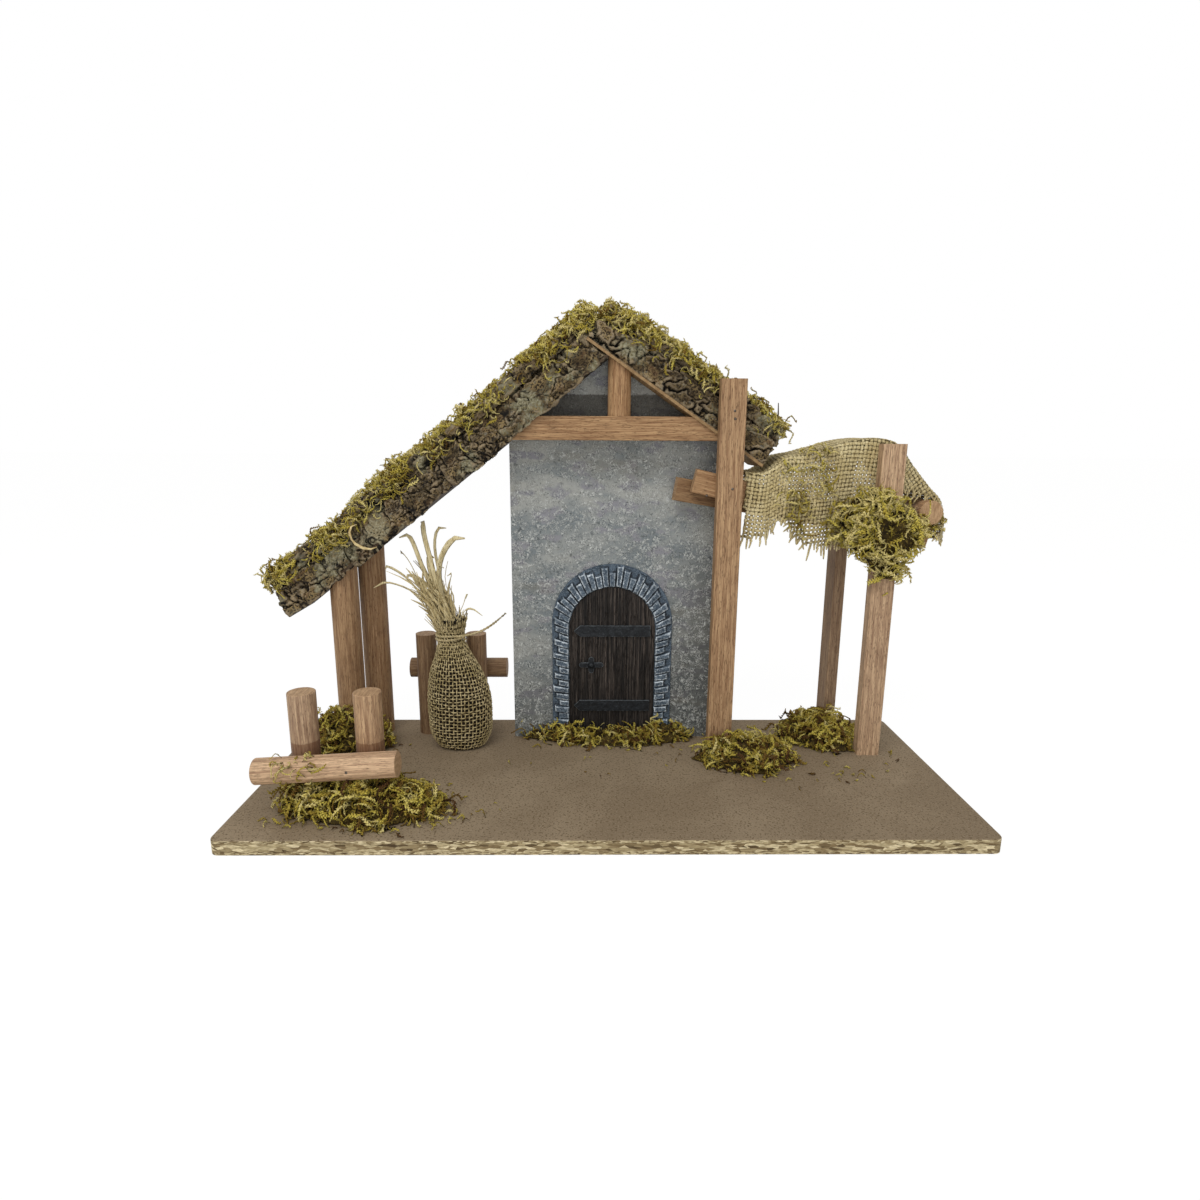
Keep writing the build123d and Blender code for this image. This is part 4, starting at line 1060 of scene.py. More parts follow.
at = take(place(growth, "GeometryNodeInputPosition"))
normal = take(place(growth, "GeometryNodeInputNormal"))
tufts = grainy(at, given["Tuft scale"], 3, 0.6)
upward = reckon("GREATER_THAN", axis_of(normal, "Z"), given["Bare below"])
away = reckon("GREATER_THAN", measured("DISTANCE", at, given["Clear spot"]), given["Clear reach"])
seeds = place(
    growth,
    "GeometryNodeDistributePointsOnFaces",
    {
        "Mesh": given["Geometry"],
        "Selection": upward * away,
        "Density": spread(tufts, 0.41, 0.57, 0.05, 1.5) * given["Fronds per area"],
        "Seed": given["Seed"],
    },
    distribute_method="RANDOM",
)
lean = drawn_by_lot(given["Least lean"], given["Most lean"], given["Seed"])
spin = drawn_by_lot(0.0, 2 * pi, 11)
tilt = take(place(growth, "ShaderNodeCombineXYZ", {"X": lean, "Z": spin}))
tilt = take(place(growth, "FunctionNodeEulerToRotation", {0: tilt}))
turns = {"Rotation": take(seeds, "Rotation"), "Rotate By": tilt}
turned = take(place(growth, "FunctionNodeRotateRotation", turns, rotation_space="LOCAL"))
sizes = drawn_by_lot(given["Least size"], given["Most size"], 5) * spread(tufts, 0.36, 0.62, 0.75, 1.15)
kinds = {"Collection": given["Kinds"], "Separate Children": True, "Reset Children": True}
coat = place(
    growth,
    "GeometryNodeInstanceOnPoints",
    {
        "Points": take(seeds, "Points"),
        "Instance": take(place(growth, "GeometryNodeCollectionInfo", kinds)),
        "Pick Instance": True,
        "Rotation": turned,
        "Scale": sizes,
    },
)
tints = drawn_by_lot(given["Least tint"], given["Most tint"], 3)
coat = recorded(take(coat), "tint", tints, "INSTANCE")
coat = take(place(growth, "GeometryNodeRealizeInstances", {"Geometry": coat}))
above_ground = {
    "X": axis_of(at, "X"),
    "Y": axis_of(at, "Y"),
    "Z": reckon("MAXIMUM", axis_of(at, "Z"), given["Ground"]),
}
settled = take(place(growth, "ShaderNodeCombineXYZ", above_ground))
coat = take(place(growth, "GeometryNodeSetPosition", {"Geometry": coat, "Position": settled}))
coat = take(place(growth, "GeometryNodeSetMaterial", {"Geometry": coat, "Material": given["Finish"]}))
feed(made, "Geometry", coat)

dowel_x = 193
dowel_z = 162
dowel_end = (dowel_x * mm, 21 * mm, dowel_z * mm)
no_ground = -1.0


def moss_coat(
    name,
    bed,
    crowd,
    seed,
    sizes,
    leans,
    tuft_scale=130.0,
    tints=(0.0, 1.0),
    ground=no_ground,
    bare_below=-2.0,
    clear_reach=0.0,
):
    """A coat of fronds on a bed, as its own piece: fronds for each square centimetre, sizes and leans."""
    plan = {
        "Fronds per area": crowd * 10000.0,
        "Seed": seed,
        "Least size": sizes[0],
        "Most size": sizes[1],
        "Least lean": leans[0],
        "Most lean": leans[1],
        "Bare below": bare_below,
        "Tuft scale": tuft_scale,
        "Least tint": tints[0],
        "Most tint": tints[1],
        "Ground": ground,
        "Clear spot": dowel_end,
        "Clear reach": clear_reach,
        "Kinds": frond_kinds,
        "Finish": frond_finish,
    }
    add_piece(name, run_tree(growth, bed, plan), "moss")


def tread_down(mesh):
    """Press the moss flat in front of the door, and leave it full at both sides."""
    for corner in mesh.vertices:
        from_side = abs(corner.co.x - door_centre_x) / arch_inner
        full = min(1.0, max(0.0, (from_side - 0.7) / 0.4))
        corner.co.z = base_top + (corner.co.z - base_top) * (0.22 + 0.78 * full)


# Each cushion: its solid, how many coats it has, how crowded they are, the sizes and leans of the fronds,
# the scale of the tufts, the range of tints, and whether it lies on the base.
flat_leans = (1.15, 1.75)
loose_leans = (0.7, 1.7)
cushions = (
    ("moss_roof_left", 3, 13, (0.45, 1.0), flat_leans, 42.0, (0.25, 1.3), False),
    ("moss_roof_right", 1, 28, (0.4, 0.9), flat_leans, 42.0, (0.25, 1.3), False),
    ("moss_awning_joint", 1, 24, (0.6, 1.3), loose_leans, 62.0, (0.5, 1.5), False),
    ("moss_fence", 1, 24, (0.6, 1.25), loose_leans, 70.0, (0.0, 1.0), True),
    ("moss_left_posts", 1, 24, (0.6, 1.15), loose_leans, 70.0, (0.0, 1.0), True),
    ("moss_door", 1, 24, (0.55, 1.0), loose_leans, 70.0, (0.0, 1.0), True),
    ("moss_tall_post", 1, 24, (0.6, 1.15), loose_leans, 70.0, (0.0, 1.0), True),
    ("moss_awning_posts", 1, 24, (0.6, 1.15), loose_leans, 70.0, (0.0, 1.0), True),
)
bed_sizes = (9, 1.6, 2.4, 0.6, 9, 2.6, 2.4, 0.9)
for number, (cushion, coats, crowd, sizes, leans, tuft_scale, tints, on_base) in enumerate(cushions):
    under_moss = bark_finish if "roof" in cushion else bed_finish
    bed_plan = relief_plan(under_moss, bed_sizes, (0, 0, -1), shift=(0.2 * number, 0.1, 0.3))
    solid_mesh = take_mesh(cushion)
    if cushion == "moss_door":
        tread_down(solid_mesh)
    bed = run_tree(relief, solid_mesh, bed_plan, 1.5 * mm)
    ground = base_top + 0.2 * mm if on_base else no_ground
    clear_reach = 13 * mm if cushion == "moss_awning_joint" else 0.0
    for coat_number in range(coats):
        name = f"{cushion}_fronds_{coat_number + 1}"
        seed = 20 + 10 * number + coat_number
        moss_coat(name, bed, crowd, seed, sizes, leans, tuft_scale, tints, ground, -0.35, clear_reach)
    add_piece(cushion + "_bed", bed, "moss", cushion)


# Loose moss: crumbs that fell beside the cushions, skirts of fronds round two of them,
# and moss that hangs on the fence rail, the ridge, the front of the bark and the end of the dowel.
def flat_patch(centre_x, centre_y, half_length, half_depth, above_base):
    """A level oval just above the base, in mm."""
    corners = []
    for step in range(24):
        turn = 2 * pi * step / 24
        x = centre_x + half_length * cos(turn)
        y = centre_y + half_depth * sin(turn)
        corners.append((x * mm, y * mm, base_top + above_base * mm))
    mesh = bpy.data.meshes.new("patch")
    mesh.from_pydata(corners, [], [tuple(range(24))])
    return mesh


def row_patch(points, columns, winding=(0, 2, 3, 1)):
    """A patch of faces over rows of points, in mm; the winding is the order of each face's corners."""
    faces = []
    for row in range(len(points) // columns - 1):
        for step in range(columns - 1):
            low = row * columns + step
            corners = (low, low + 1, low + columns, low + columns + 1)
            faces.append(tuple(corners[each] for each in winding))
    mesh = bpy.data.meshes.new("patch")
    mesh.from_pydata([tuple(value * mm for value in point) for point in points], [], faces)
    return mesh


loose_ground = base_top + 0.15 * mm
crumb_patches = (
    ("crumbs_fence", flat_patch(-124, -46, 66, 30, 0.3), 1.1),
    ("crumbs_left", flat_patch(-158, 30, 34, 34, 0.3), 1.0),
    ("crumbs_door", flat_patch(4, 20, 80, 30, 0.3), 0.5),
    ("crumbs_right", flat_patch(112, 18, 72, 46, 0.3), 0.8),
)
for number, (crumbs, patch, crowd) in enumerate(crumb_patches):
    moss_coat(crumbs, patch, crowd, 140 + number, (0.3, 0.7), (1.3, 1.75), ground=loose_ground)
skirt = flat_patch(-127, -61, 52, 14, 0.4)
moss_coat("moss_skirt_fence", skirt, 16, 150, (0.6, 1.15), (1.25, 1.65), 60.0, ground=loose_ground)
skirt = flat_patch(92, 12, 32, 17, 0.4)
moss_coat("moss_skirt_post", skirt, 10, 151, (0.6, 1.1), (1.25, 1.65), 60.0, ground=loose_ground)

rail_left = (-185, -54.45, 33)
tuft_radius = 7.2
tuft_points = []
for x in (-176, -170, -164, -158, -152):
    axis_z = rail_left[2] + (x - rail_left[0]) * tan(fence_slope)
    for step in range(9):
        turn = radians(-25 + 15 * step)
        tuft_points.append((x, rail_left[1] - tuft_radius * cos(turn), axis_z + tuft_radius * sin(turn)))
moss_coat("tuft_on_rail", row_patch(tuft_points, 9), 7, 160, (0.45, 0.85), (1.2, 1.6), tints=(0.3, 1.2))

ridge_marks = ((-19, 271.5), (-11, 277), (-3, 279.5), (5, 279.5), (13, 276), (21, 270.5))
ridge_depths = (38, 44, 50, 56, 62)
ridge_points = [(x, y, z - 0.02 * (y - 50) ** 2) for x, z in ridge_marks for y in ridge_depths]
moss_coat("moss_on_ridge", row_patch(ridge_points, 5), 13, 170, (0.4, 0.8), flat_leans, tints=(0.15, 1.15))

ridge_x = 0.7
ridge_z = 250.6


def bark_face(pitch, side, start, end, winding):
    """The upper part of the bark's front face, as a strip from the ridge down the slope."""
    points = []
    for down in np.arange(start, end, 6.0):
        for out in (13, 17, 21, 25):
            x = ridge_x + side * (down * cos(pitch) + out * sin(pitch))
            z = ridge_z - down * sin(pitch) + out * cos(pitch)
            points.append((x, 29.5 + 0.3 * (out - 13), z))
    return row_patch(points, 4, winding)


left_face = bark_face(left_pitch, -1, 4, 246, (1, 3, 2, 0))
moss_coat("moss_tongues_left", left_face, 5.5, 200, (0.45, 0.95), (1.2, 1.65), 34.0, (0.2, 1.2))
right_face = bark_face(right_pitch, 1, 0, 104, (0, 2, 3, 1))
moss_coat("moss_tongues_right", right_face, 4, 210, (0.4, 0.85), (1.2, 1.65), 34.0, (0.2, 1.2))

under_radius = 9.4
under_points = []
for step in range(10):
    turn = radians(-200 + 20 * step)
    for y in (24, 30, 36):
        under_points.append((dowel_x + under_radius * cos(turn), y, dowel_z + under_radius * sin(turn)))
under_patch = row_patch(under_points, 3, (0, 1, 3, 2))
moss_coat("moss_under_dowel", under_patch, 26, 180, (0.5, 1.05), (0.8, 1.65), 200.0, (0.2, 1.2))


# The awning cloth: a piece of loose burlap thrown over the two awning rails and the end dowel.
# It is woven here thread by thread on the draped surface; the front hem is torn and frayed.
def smooth_between(knots, values, at):
    """Values on a smooth curve through those at the knots."""
    knots = np.asarray(knots, float)
    values = np.asarray(values, float)
    slopes = np.gradient(values, knots, axis=0)
    place_in = np.clip(np.searchsorted(knots, at, side="right") - 1, 0, len(knots) - 2)
    gap = knots[place_in + 1] - knots[place_in]
    part = (at - knots[place_in]) / gap
    shape = (-1,) + (1,) * (values.ndim - 1)
    part = part.reshape(shape)
    gap = gap.reshape(shape)
    first = values[place_in]
    second = values[place_in + 1]
    lead = slopes[place_in] * gap
    trail = slopes[place_in + 1] * gap
    return (
        (2 * part**3 - 3 * part**2 + 1) * first
        + (part**3 - 2 * part**2 + part) * lead
        + (-2 * part**3 + 3 * part**2) * second
        + (part**3 - part**2) * trail
    )


# Each section is (x, z of its top, tilt, drop of the front, how far the fold comes forward), in mm.
cloth_sections = (
    (82.5, 186.0, 0, 40, 0),
    (88, 185.5, 0, 39, 3.5),
    (94, 186.0, 0, 38, 5.5),
    (100, 190.0, 0, 35, 3),
    (106, 194.5, 0, 36, 7),
    (112, 196.0, 0, 46, 3),
    (118, 197.0, 0, 53, 1),
    (125, 199.0, 0, 57, 4.5),
    (133, 201.0, 0, 60, 1.5),
    (142, 203.8, 0, 60, 0),
    (152, 205.5, 0, 56, 0),
    (161, 206.0, 0, 50, 0),
    (171, 204.0, 10, 40, 0),
    (184, 190.0, 35, 18, 0),
    (195, 177.5, 50, 7, 0),
    (202.6, 169.5, 64, 4, 0),
    (206, 159.0, 80, 4, 0),
    (206.5, 143.0, 90, 4, 0),
)
cloth_front = 28.25
cloth_back = 78
cloth_half = 0.7
back_drop = 13
cloth_bend = 2.4
spare = 30
u_step = 0.5
v_step = 0.5
v_marks = np.arange(-16, 130, v_step)


def cloth_profile(drop, fold):
    """Middle line of one section: up the back, over the top and down the front, as (y, height)."""
    back = cloth_back - cloth_half
    front = cloth_front + cloth_half
    top = -cloth_half
    middle = (back + front) / 2
    lower = np.array((front - fold, -drop))
    half_fall = np.array((front - 0.7 * fold, -(cloth_bend + drop) / 2))
    fall = (lower - half_fall) / np.linalg.norm(lower - half_fall)
    line = np.array(
        [
            (back, -back_drop - spare),
            (back, -cloth_bend),
            (back - cloth_bend, top),
            (middle, top - 0.7),
            (front + cloth_bend, top),
            (front, -cloth_bend),
            half_fall,
            lower,
            lower + fall * spare,
        ]
    )
    for round_off in range(3):
        cut = [line[0]]
        for here, after in zip(line[:-1], line[1:]):
            cut.extend((here * 0.75 + after * 0.25, here * 0.25 + after * 0.75))
        cut.append(line[-1])
        line = np.array(cut)
    lengths = np.concatenate(([0], np.cumsum(np.linalg.norm(np.diff(line, axis=0), axis=1))))
    lengths -= back_drop + spare - cloth_bend
    half = len(line) // 2
    hem = np.interp(drop, -line[half:, 1], lengths[half:])
    points = np.stack([np.interp(v_marks, lengths, line[:, axis]) for axis in (0, 1)], axis=1)
    return points, hem


cloth_rows = []
hem_marks = []
back_marks = []
for x, z, tilt, drop, fold in cloth_sections:
    profile, hem = cloth_profile(drop, fold)
    turn = radians(tilt)
    row = np.zeros((len(v_marks), 3))
    row[:, 0] = x + profile[:, 1] * sin(turn)
    row[:, 1] = profile[:, 0]
    row[:, 2] = z + profile[:, 1] * cos(turn)
    cloth_rows.append(row)
    hem_marks.append(hem)
    back_marks.append(min(back_drop, drop) - cloth_bend)
u_knots = [0.0]
for before, after in zip(cloth_sections[:-1], cloth_sections[1:]):
    u_knots.append(u_knots[-1] + float(np.hypot(after[0] - before[0], after[1] - before[1])))
cloth_length = u_knots[-1]
u_marks = np.arange(0, cloth_length, u_step)
cloth_grid = smooth_between(u_knots, cloth_rows, u_marks)
hem_line = smooth_between(u_knots, hem_marks, u_marks)
back_line = smooth_between(u_knots, back_marks, u_marks)
cloth_area = float(np.sum(hem_line + back_line) * u_step) * mm * mm
cloth_normals = unit(np.cross(np.gradient(cloth_grid, axis=0), np.gradient(cloth_grid, axis=1)))


def on_cloth(grid, u, v):
    """Look up a grid of the cloth at places along and across it."""
    row = np.clip(u / u_step, 0, grid.shape[0] - 1.001)
    column = np.clip((v - v_marks[0]) / v_step, 0, grid.shape[1] - 1.001)
    row_low = row.astype(int)
    column_low = column.astype(int)
    row_part = (row - row_low)[:, None]
    column_part = (column - column_low)[:, None]
    left = grid[:, :-1]
    right = grid[:, 1:]
    low = left[row_low, column_low] * (1 - column_part) + right[row_low, column_low] * column_part
    row_high = row_low + 1
    high = left[row_high, column_low] * (1 - column_part) + right[row_high, column_low] * column_part
    return low * (1 - row_part) + high * row_part


def burlap(name, first, second, speck):
    """Jute yarn: twisted fibres, uneven in colour, with painted shade where a yarn dips under another."""
    material, shader, spot = start_material(name, 0.9)
    fibres = grainy(spot, 3000, 3, 0.6)
    colour = mottled(spot, first, second, speck, 120.0, 1300.0, 0.22)
    colour = blend(spread(fibres, 0.35, 0.7, 0, 0.4), colour, screen(96, 80, 50))
    # Darker where a yarn dips under another: painted shade, plus a random tone for each yarn.
    dip_shade = spread(noted(spot.tree, "rise"), 0.6, -0.9)
    feed(shader, "Base Color", blend(dip_shade * 0.85, colour, screen(74, 60, 35)))
    raise_surface(shader, fibres, 0.25 * mm, 0.7)
    return material


def wavering(places, pitch, row, family):
    """Smooth noise along a yarn, different in each row and family."""
    return np.array([noise.noise(Vector((each / pitch, row, family))) for each in places])


# The yarns run in two families across each other. A yarn that ends at the front hem leaves a frayed tail.
cloth_jute = burlap("cloth_jute", screen(232, 217, 170), screen(206, 188, 138), screen(158, 138, 92))
yarn_pitch = 2.4
yarn_lift = 0.33
weave_turn = radians(8)
weave_along = np.array((cos(weave_turn), sin(weave_turn)))
weave_across = np.array((-sin(weave_turn), cos(weave_turn)))
yarn_steps = np.arange(-110, 220)
travel = yarn_steps * yarn_pitch / 2
tab_left = 121
tab_right = 134
chance = np.random.default_rng(7)
yarns = []
yarn_rises = []
fringe = []
fringe_rises = []


def add_tail(end_point, before):
    """A frayed tail that carries on from the end of a yarn and droops."""
    ahead = (end_point - before) / (np.linalg.norm(end_point - before) + 1e-9)
    reach = chance.uniform(2.0, 9.0) * (1.5 if tab_left < end_point[0] < tab_right else 1.0)
    drift_limits = ((-0.45, 0.45), (-0.5, 0.1), (-0.5, 0.1))
    drift = np.array([chance.uniform(low, high) for low, high in drift_limits])
    kink = chance.uniform(-0.7, 0.7)
    tail = [end_point - ahead * 0.8]
    for step in range(5):
        bent = ahead + drift * (step + 1) / 3 + np.array((kink * sin(2.2 * step), 0, -0.3 * step))
        tail.append(tail[-1] + bent / np.linalg.norm(bent) * reach / 5)
    thin = np.array((1.5, 1.5, 1.4, 1.3, 1.1, 0.7)) * mm
    facing = np.tile((0.1, -1.0, 0.2), (6, 1))
    fringe.append(strand(np.array(tail) * mm, facing, thin, thin * 0.7, 5))
    fringe_rises.append(np.repeat(np.linspace(-0.2, 0.8, 6), 5))


families = ((0, weave_along, weave_across, 1), (1, weave_across, -weave_along, -1))
for family, heading, aside, side in families:
    for number in range(-110, 110):
        stray = 0.3 * wavering(travel, 15, number * 1.7, family * 9.3)
        line = travel[:, None] * heading + (number * yarn_pitch + stray)[:, None] * aside
        u = line[:, 0]
        v = line[:, 1]
        hems = np.interp(u, u_marks, hem_line) + 1.6 * wavering(u, 4.5, 3.1, 0)
        backs = np.interp(u, u_marks, back_line)
        inside = (u > 0) & (u < cloth_length - 0.6) & (v > -backs) & (v < hems)
        ends = np.flatnonzero(np.diff(np.concatenate(([0], inside.astype(int), [0]))))
        for start, end in zip(ends[::2], ends[1::2]):
            if end - start < 3:
                continue
            run = slice(start, end)
            points = on_cloth(cloth_grid, u[run], v[run])
            normals = on_cloth(cloth_normals, u[run], v[run])
            over = side * np.cos(pi * (yarn_steps[run] / 2 + number))
            lifted = points + normals * (yarn_lift * over)[:, None]
            slub = 1 + 0.22 * wavering(travel[run], 6, number * 3.3, family * 5.7)
            yarn_width = slub * np.interp(v[run], (76, 100), (1.84, 1.44))
            yarns.append(strand(lifted * mm, normals, yarn_width * mm, 0.3 * slub * mm, 6))
            yarn_rises.append(np.repeat(chance.uniform(-0.45, 0.35) - over, 6))
            for last, before in ((0, 1), (-1, -2)):
                if abs(v[run][last] - hems[run][last]) <= 3:
                    add_tail(points[last], points[before])

awning_mesh = bundle("awning_burlap", yarns, cloth_jute, {"rise": yarn_rises})
awning = add_piece("awning_burlap", awning_mesh, "burlap", "awning_cloth")
fringe_mesh = bundle("awning_fringe", fringe, cloth_jute, {"rise": fringe_rises})
awning_fringe = add_piece("awning_fringe", fringe_mesh, "burlap")


# Moss on the cloth: scraps lie in the fold beside the post,
# and gather towards the joint.
def cloth_patch(u_low, u_high, v_low, v_high):
    """A part of the cloth's outer surface, just above its threads."""
    patch_v = np.linspace(v_low, v_high, 25)
    points = []
    for u in np.linspace(u_low, u_high, 15):
        patch_u = np.full(25, u)
        outward = -1.1 * on_cloth(cloth_normals, patch_u, patch_v)
        points.extend(on_cloth(cloth_grid, patch_u, patch_v) + outward)
    return row_patch(points, 25, (0, 1, 3, 2))


fold_patch = cloth_patch(24, 54, 42, 94)
moss_coat("moss_on_cloth", fold_patch, 8, 190, (0.45, 0.95), (1.05, 1.55), 75.0, (0.4, 1.3))
joint_patch = cloth_patch(50, 66, 78, 104)
moss_coat("moss_by_joint", joint_patch, 20, 195, (0.5, 1.0), (1.0, 1.55), 90.0, (0.35, 1.35))


# The sack: an open jute net gathered at the neck over a filling of chopped straw.
# The net is woven here thread by thread; the threads crowd together in the neck.
sack_x = -93
sack_y = 37
sack_half_width = 20
sack_half_depth = 14.6
sack_neck_x = -98
sack_foot = 8
sack_neck_z = 80
girth_rises = (0, 0.1, 0.3, 0.5, 0.72, 0.88, 1.0, 1.12, 1.25)
girth_shares = (0.72, 0.92, 1.0, 0.98, 0.78, 0.52, 0.4, 0.46, 0.56)


def on_sack(turn, rise, swell=0.0):
    """Points on the sack at turns round it and shares of the neck height."""
    girth = smooth_between(girth_rises, girth_shares, rise)
    round_neck = np.clip((rise - 0.7) / 0.3, 0, 1)
    half_depth = sack_half_depth + (sack_half_width - sack_half_depth) * round_neck
    pleats = np.clip((rise - 0.55) / 0.4, 0, 1) * 0.5 * np.cos(11 * turn) * girth
    around = zip(1.4 * np.cos(turn), 1.4 * np.sin(turn), 3.2 * rise)
    dents = np.array([0.8 * noise.noise(Vector(each)) for each in around]) * np.clip(1.1 - rise, 0, 1)
    lean = (sack_neck_x - sack_x) * np.clip(rise, 0, 1) ** 2
    out = pleats + dents + swell
    return np.stack(
        [
            sack_x + lean + (girth * sack_half_width + out) * np.cos(turn),
            sack_y + (girth * half_depth + out) * np.sin(turn),
            sack_foot + rise * (sack_neck_z - sack_foot),
        ],
        axis=1,
    )


sack_jute = burlap("sack_jute", screen(222, 204, 158), screen(192, 174, 126), screen(144, 126, 84))
ribs = 50
hoops = 38
net = []
net_rises = []


def add_thread(turns, rises, over):
    """One thread of the net, over and under the ones it crosses."""
    outward = on_sack(turns, rises, 1.0) - on_sack(turns, rises)
    net.append(strand(on_sack(turns, rises, 0.3 * over) * mm, outward, 0.74 * mm, 0.7 * mm, 5))
    net_rises.append(np.repeat(over, 5))


for rib in range(ribs):
    rises = np.linspace(0.015, 1.2 + 0.05 * chance.uniform(-1, 1), hoops * 2)
    stray = np.array([noise.noise(Vector((rib * 2.1, each * 6, 0))) for each in rises])
    turns = 2 * pi * rib / ribs + 0.25 * rises + 0.03 * stray
    add_thread(turns, rises, np.cos(pi * (np.arange(hoops * 2) / 2 + rib)))
for hoop in range(hoops):
    turns = np.linspace(0, 2 * pi, ribs * 2 + 1)
    stray = np.array([noise.noise(Vector((2 * cos(each), 2 * sin(each), hoop * 1.3))) for each in turns])
    rises = 0.03 + 1.13 * hoop / hoops + 0.012 * stray
    add_thread(turns, rises, -np.cos(pi * (np.arange(ribs * 2 + 1) / 2 + hoop)))
sack_net = add_piece("sack_net", bundle("sack_net", net, sack_jute, {"rise": net_rises}), "burlap", "sack")


def chopped_straw():
    """Straw packed inside the sack, coloured near black as painted shade of the sack's inside."""
    material, shader, spot = start_material("chopped_straw", 0.95)
    drawn = stretched(spot, (1, 1, 0.5))
    # The near-black colour is painted shade of the inside of the sack.
    straw_in_shade = mottled(drawn, screen(38, 31, 20), screen(20, 16, 10), screen(66, 56, 36), 260.0, 900.0, 0.2)
    feed(shader, "Base Color", straw_in_shade)
    raise_surface(shader, grainy(stretched(spot, (1, 1, 0.4)), 700, 3), 1.2 * mm)
    return material


around = 48
levels = 40
filling_turns = np.linspace(0, 2 * pi, around, endpoint=False)
filling_points = []
filling_faces = []
for level, rise in enumerate(np.linspace(0.005, 1.18, levels)):
    filling_points.append(on_sack(filling_turns, np.full(around, rise), -0.95))
    low = (level - 1) * around
    for step in range(around if level else 0):
        after = (step + 1) % around
        filling_faces.append((low + step, low + after, low + around + after, low + around + step))
filling_faces.append(tuple(reversed(range(around))))
filling_faces.append(tuple(range((levels - 1) * around, levels * around)))
filling = bpy.data.meshes.new("sack_filling")
filling.from_pydata((np.concatenate(filling_points) * mm).tolist(), [], filling_faces)
filling.materials.append(chopped_straw())
filling.shade_smooth()
add_piece("sack_filling", filling, "straw")


# The straw: a sheaf of stems and long dry blades that stands in the neck of the sack and leans left.
# The stems are cut, and the blades bend over where they have dried.
def dry_straw(name, first, second, third):
    """Dry stalk, pale with brown streaks along it."""
    material, shader, spot = start_material(name, 0.6)
    streaks = stretched(spot, (1, 1, 0.12))
    feed(shader, "Base Color", mottled(streaks, first, second, third, 500.0, 1800.0, 0.2))
    raise_surface(shader, grainy(stretched(spot, (1, 1, 0.06)), 2400, 2), 0.2 * mm, 0.6)
    return material


stalk = dry_straw("stalk", screen(220, 204, 160), screen(184, 166, 118), screen(136, 114, 74))
blade = dry_straw("blade", screen(228, 214, 172), screen(200, 184, 138), screen(152, 132, 90))
collar_z = 85
roof_under_z = 246
long_stems = 130
short_stems = 90
sheaf_radius = 6.0
collar_radius = 6.8


def long_stem(number):
    """A stem from inside the sheaf, which curls towards its end and stays under the roof."""
    turn = number * pi * (3 - 5**0.5)
    reach = ((number + 0.5) / long_stems) ** 0.5
    aside = reach * cos(turn)
    behind = reach * sin(turn)
    foot = np.array((sack_neck_x + sheaf_radius * aside, sack_y + sheaf_radius * behind, collar_z - 5))
    tall = chance.uniform(42, 60) if number % 6 == 0 else chance.uniform(18, 44)
    shares = np.linspace(0, 1, 9)
    lean = -0.3 + 0.12 * aside + chance.uniform(-0.08, 0.08)
    curl = chance.uniform(-0.6, 0.6)
    sway = chance.uniform(-0.07, 0.07)
    back = 0.2 * behind + chance.uniform(-0.12, 0.12)
    run_x = lean * shares**1.2 + curl * np.clip(shares - 0.5, 0, 1) ** 2 + sway * np.sin(7 * shares)
    run_z = shares - 0.14 * shares**2 - 0.5 * abs(curl) * np.clip(shares - 0.6, 0, 1) ** 2
    path = foot + tall * np.stack([run_x, back * shares**1.3, run_z], axis=1)
    path[:, 2] = np.minimum(path[:, 2], roof_under_z - (ridge_x - path[:, 0]) * tan(left_pitch))
    wide = chance.uniform(1.0, 2.6) * np.clip(np.minimum(0.6 + shares, 3.5 * (1.03 - shares)), 0.15, 1.0)
    twist = chance.uniform(-2, 2) * shares + turn
    normals = np.stack([np.cos(twist), np.sin(twist), 0.2 * np.ones(9)], axis=1)
    return strand(path * mm, normals, wide * mm, 0.32 * mm, 5)


def short_stem():
    """A broken stem at the rim of the neck."""
    turn = chance.uniform(0, 2 * pi)
    foot_x = sack_neck_x + collar_radius * cos(turn)
    foot_y = sack_y + collar_radius * sin(turn)
    foot = np.array((foot_x, foot_y, collar_z + chance.uniform(-3, 2)))
    tall = chance.uniform(4, 13)
    shares = np.linspace(0, 1, 4)
    path = foot + np.outer(shares * tall, (0.45 * cos(turn) - 0.25, 0.45 * sin(turn), 1.0))
    path[:, 0] += chance.uniform(-2, 2) * shares**2
    normals = np.tile((0.2, -1.0, 0.1), (4, 1))
    return strand(path * mm, normals, (0.7 - 0.4 * shares) * mm, 0.35 * mm, 4)


stems = [long_stem(number) for number in range(long_stems)]
stems += [short_stem() for number in range(short_stems)]
add_piece("straw_stems", bundle("straw_stems", stems, stalk), "straw", "straw_sheaf")

# Each blade: x and z where it leaves the sheaf, where it bends, and its tip, then its width, in mm.
blades = (
    ((-101, 100), (-111, 137), (-111, 157), 2.6),
    ((-99, 100), (-107, 132), (-104, 153), 2.0),
    ((-98, 98), (-104, 128), (-90, 149), 3.2),
    ((-103, 100), (-116, 134), (-125, 148), 2.2),
    ((-104, 98), (-120, 124), (-130, 137), 1.8),
    ((-105, 98), (-122, 118), (-138, 128), 1.7),
    ((-106, 97), (-121, 112), (-140, 117), 1.6),
    ((-103, 96), (-113, 118), (-121, 125), 2.6),
    ((-101, 97), (-109, 122), (-113, 134), 2.4),
    ((-97, 95), (-99, 112), (-97, 124), 2.0),
    ((-98, 96), (-104, 118), (-101, 131), 2.2),
    ((-100, 96), (-112, 115), (-127, 120), 2.0),
    ((-96, 93), (-90, 104), (-84, 109), 1.2),
    ((-96, 92), (-89, 99), (-80, 100), 1.1),
)
ribbons = []
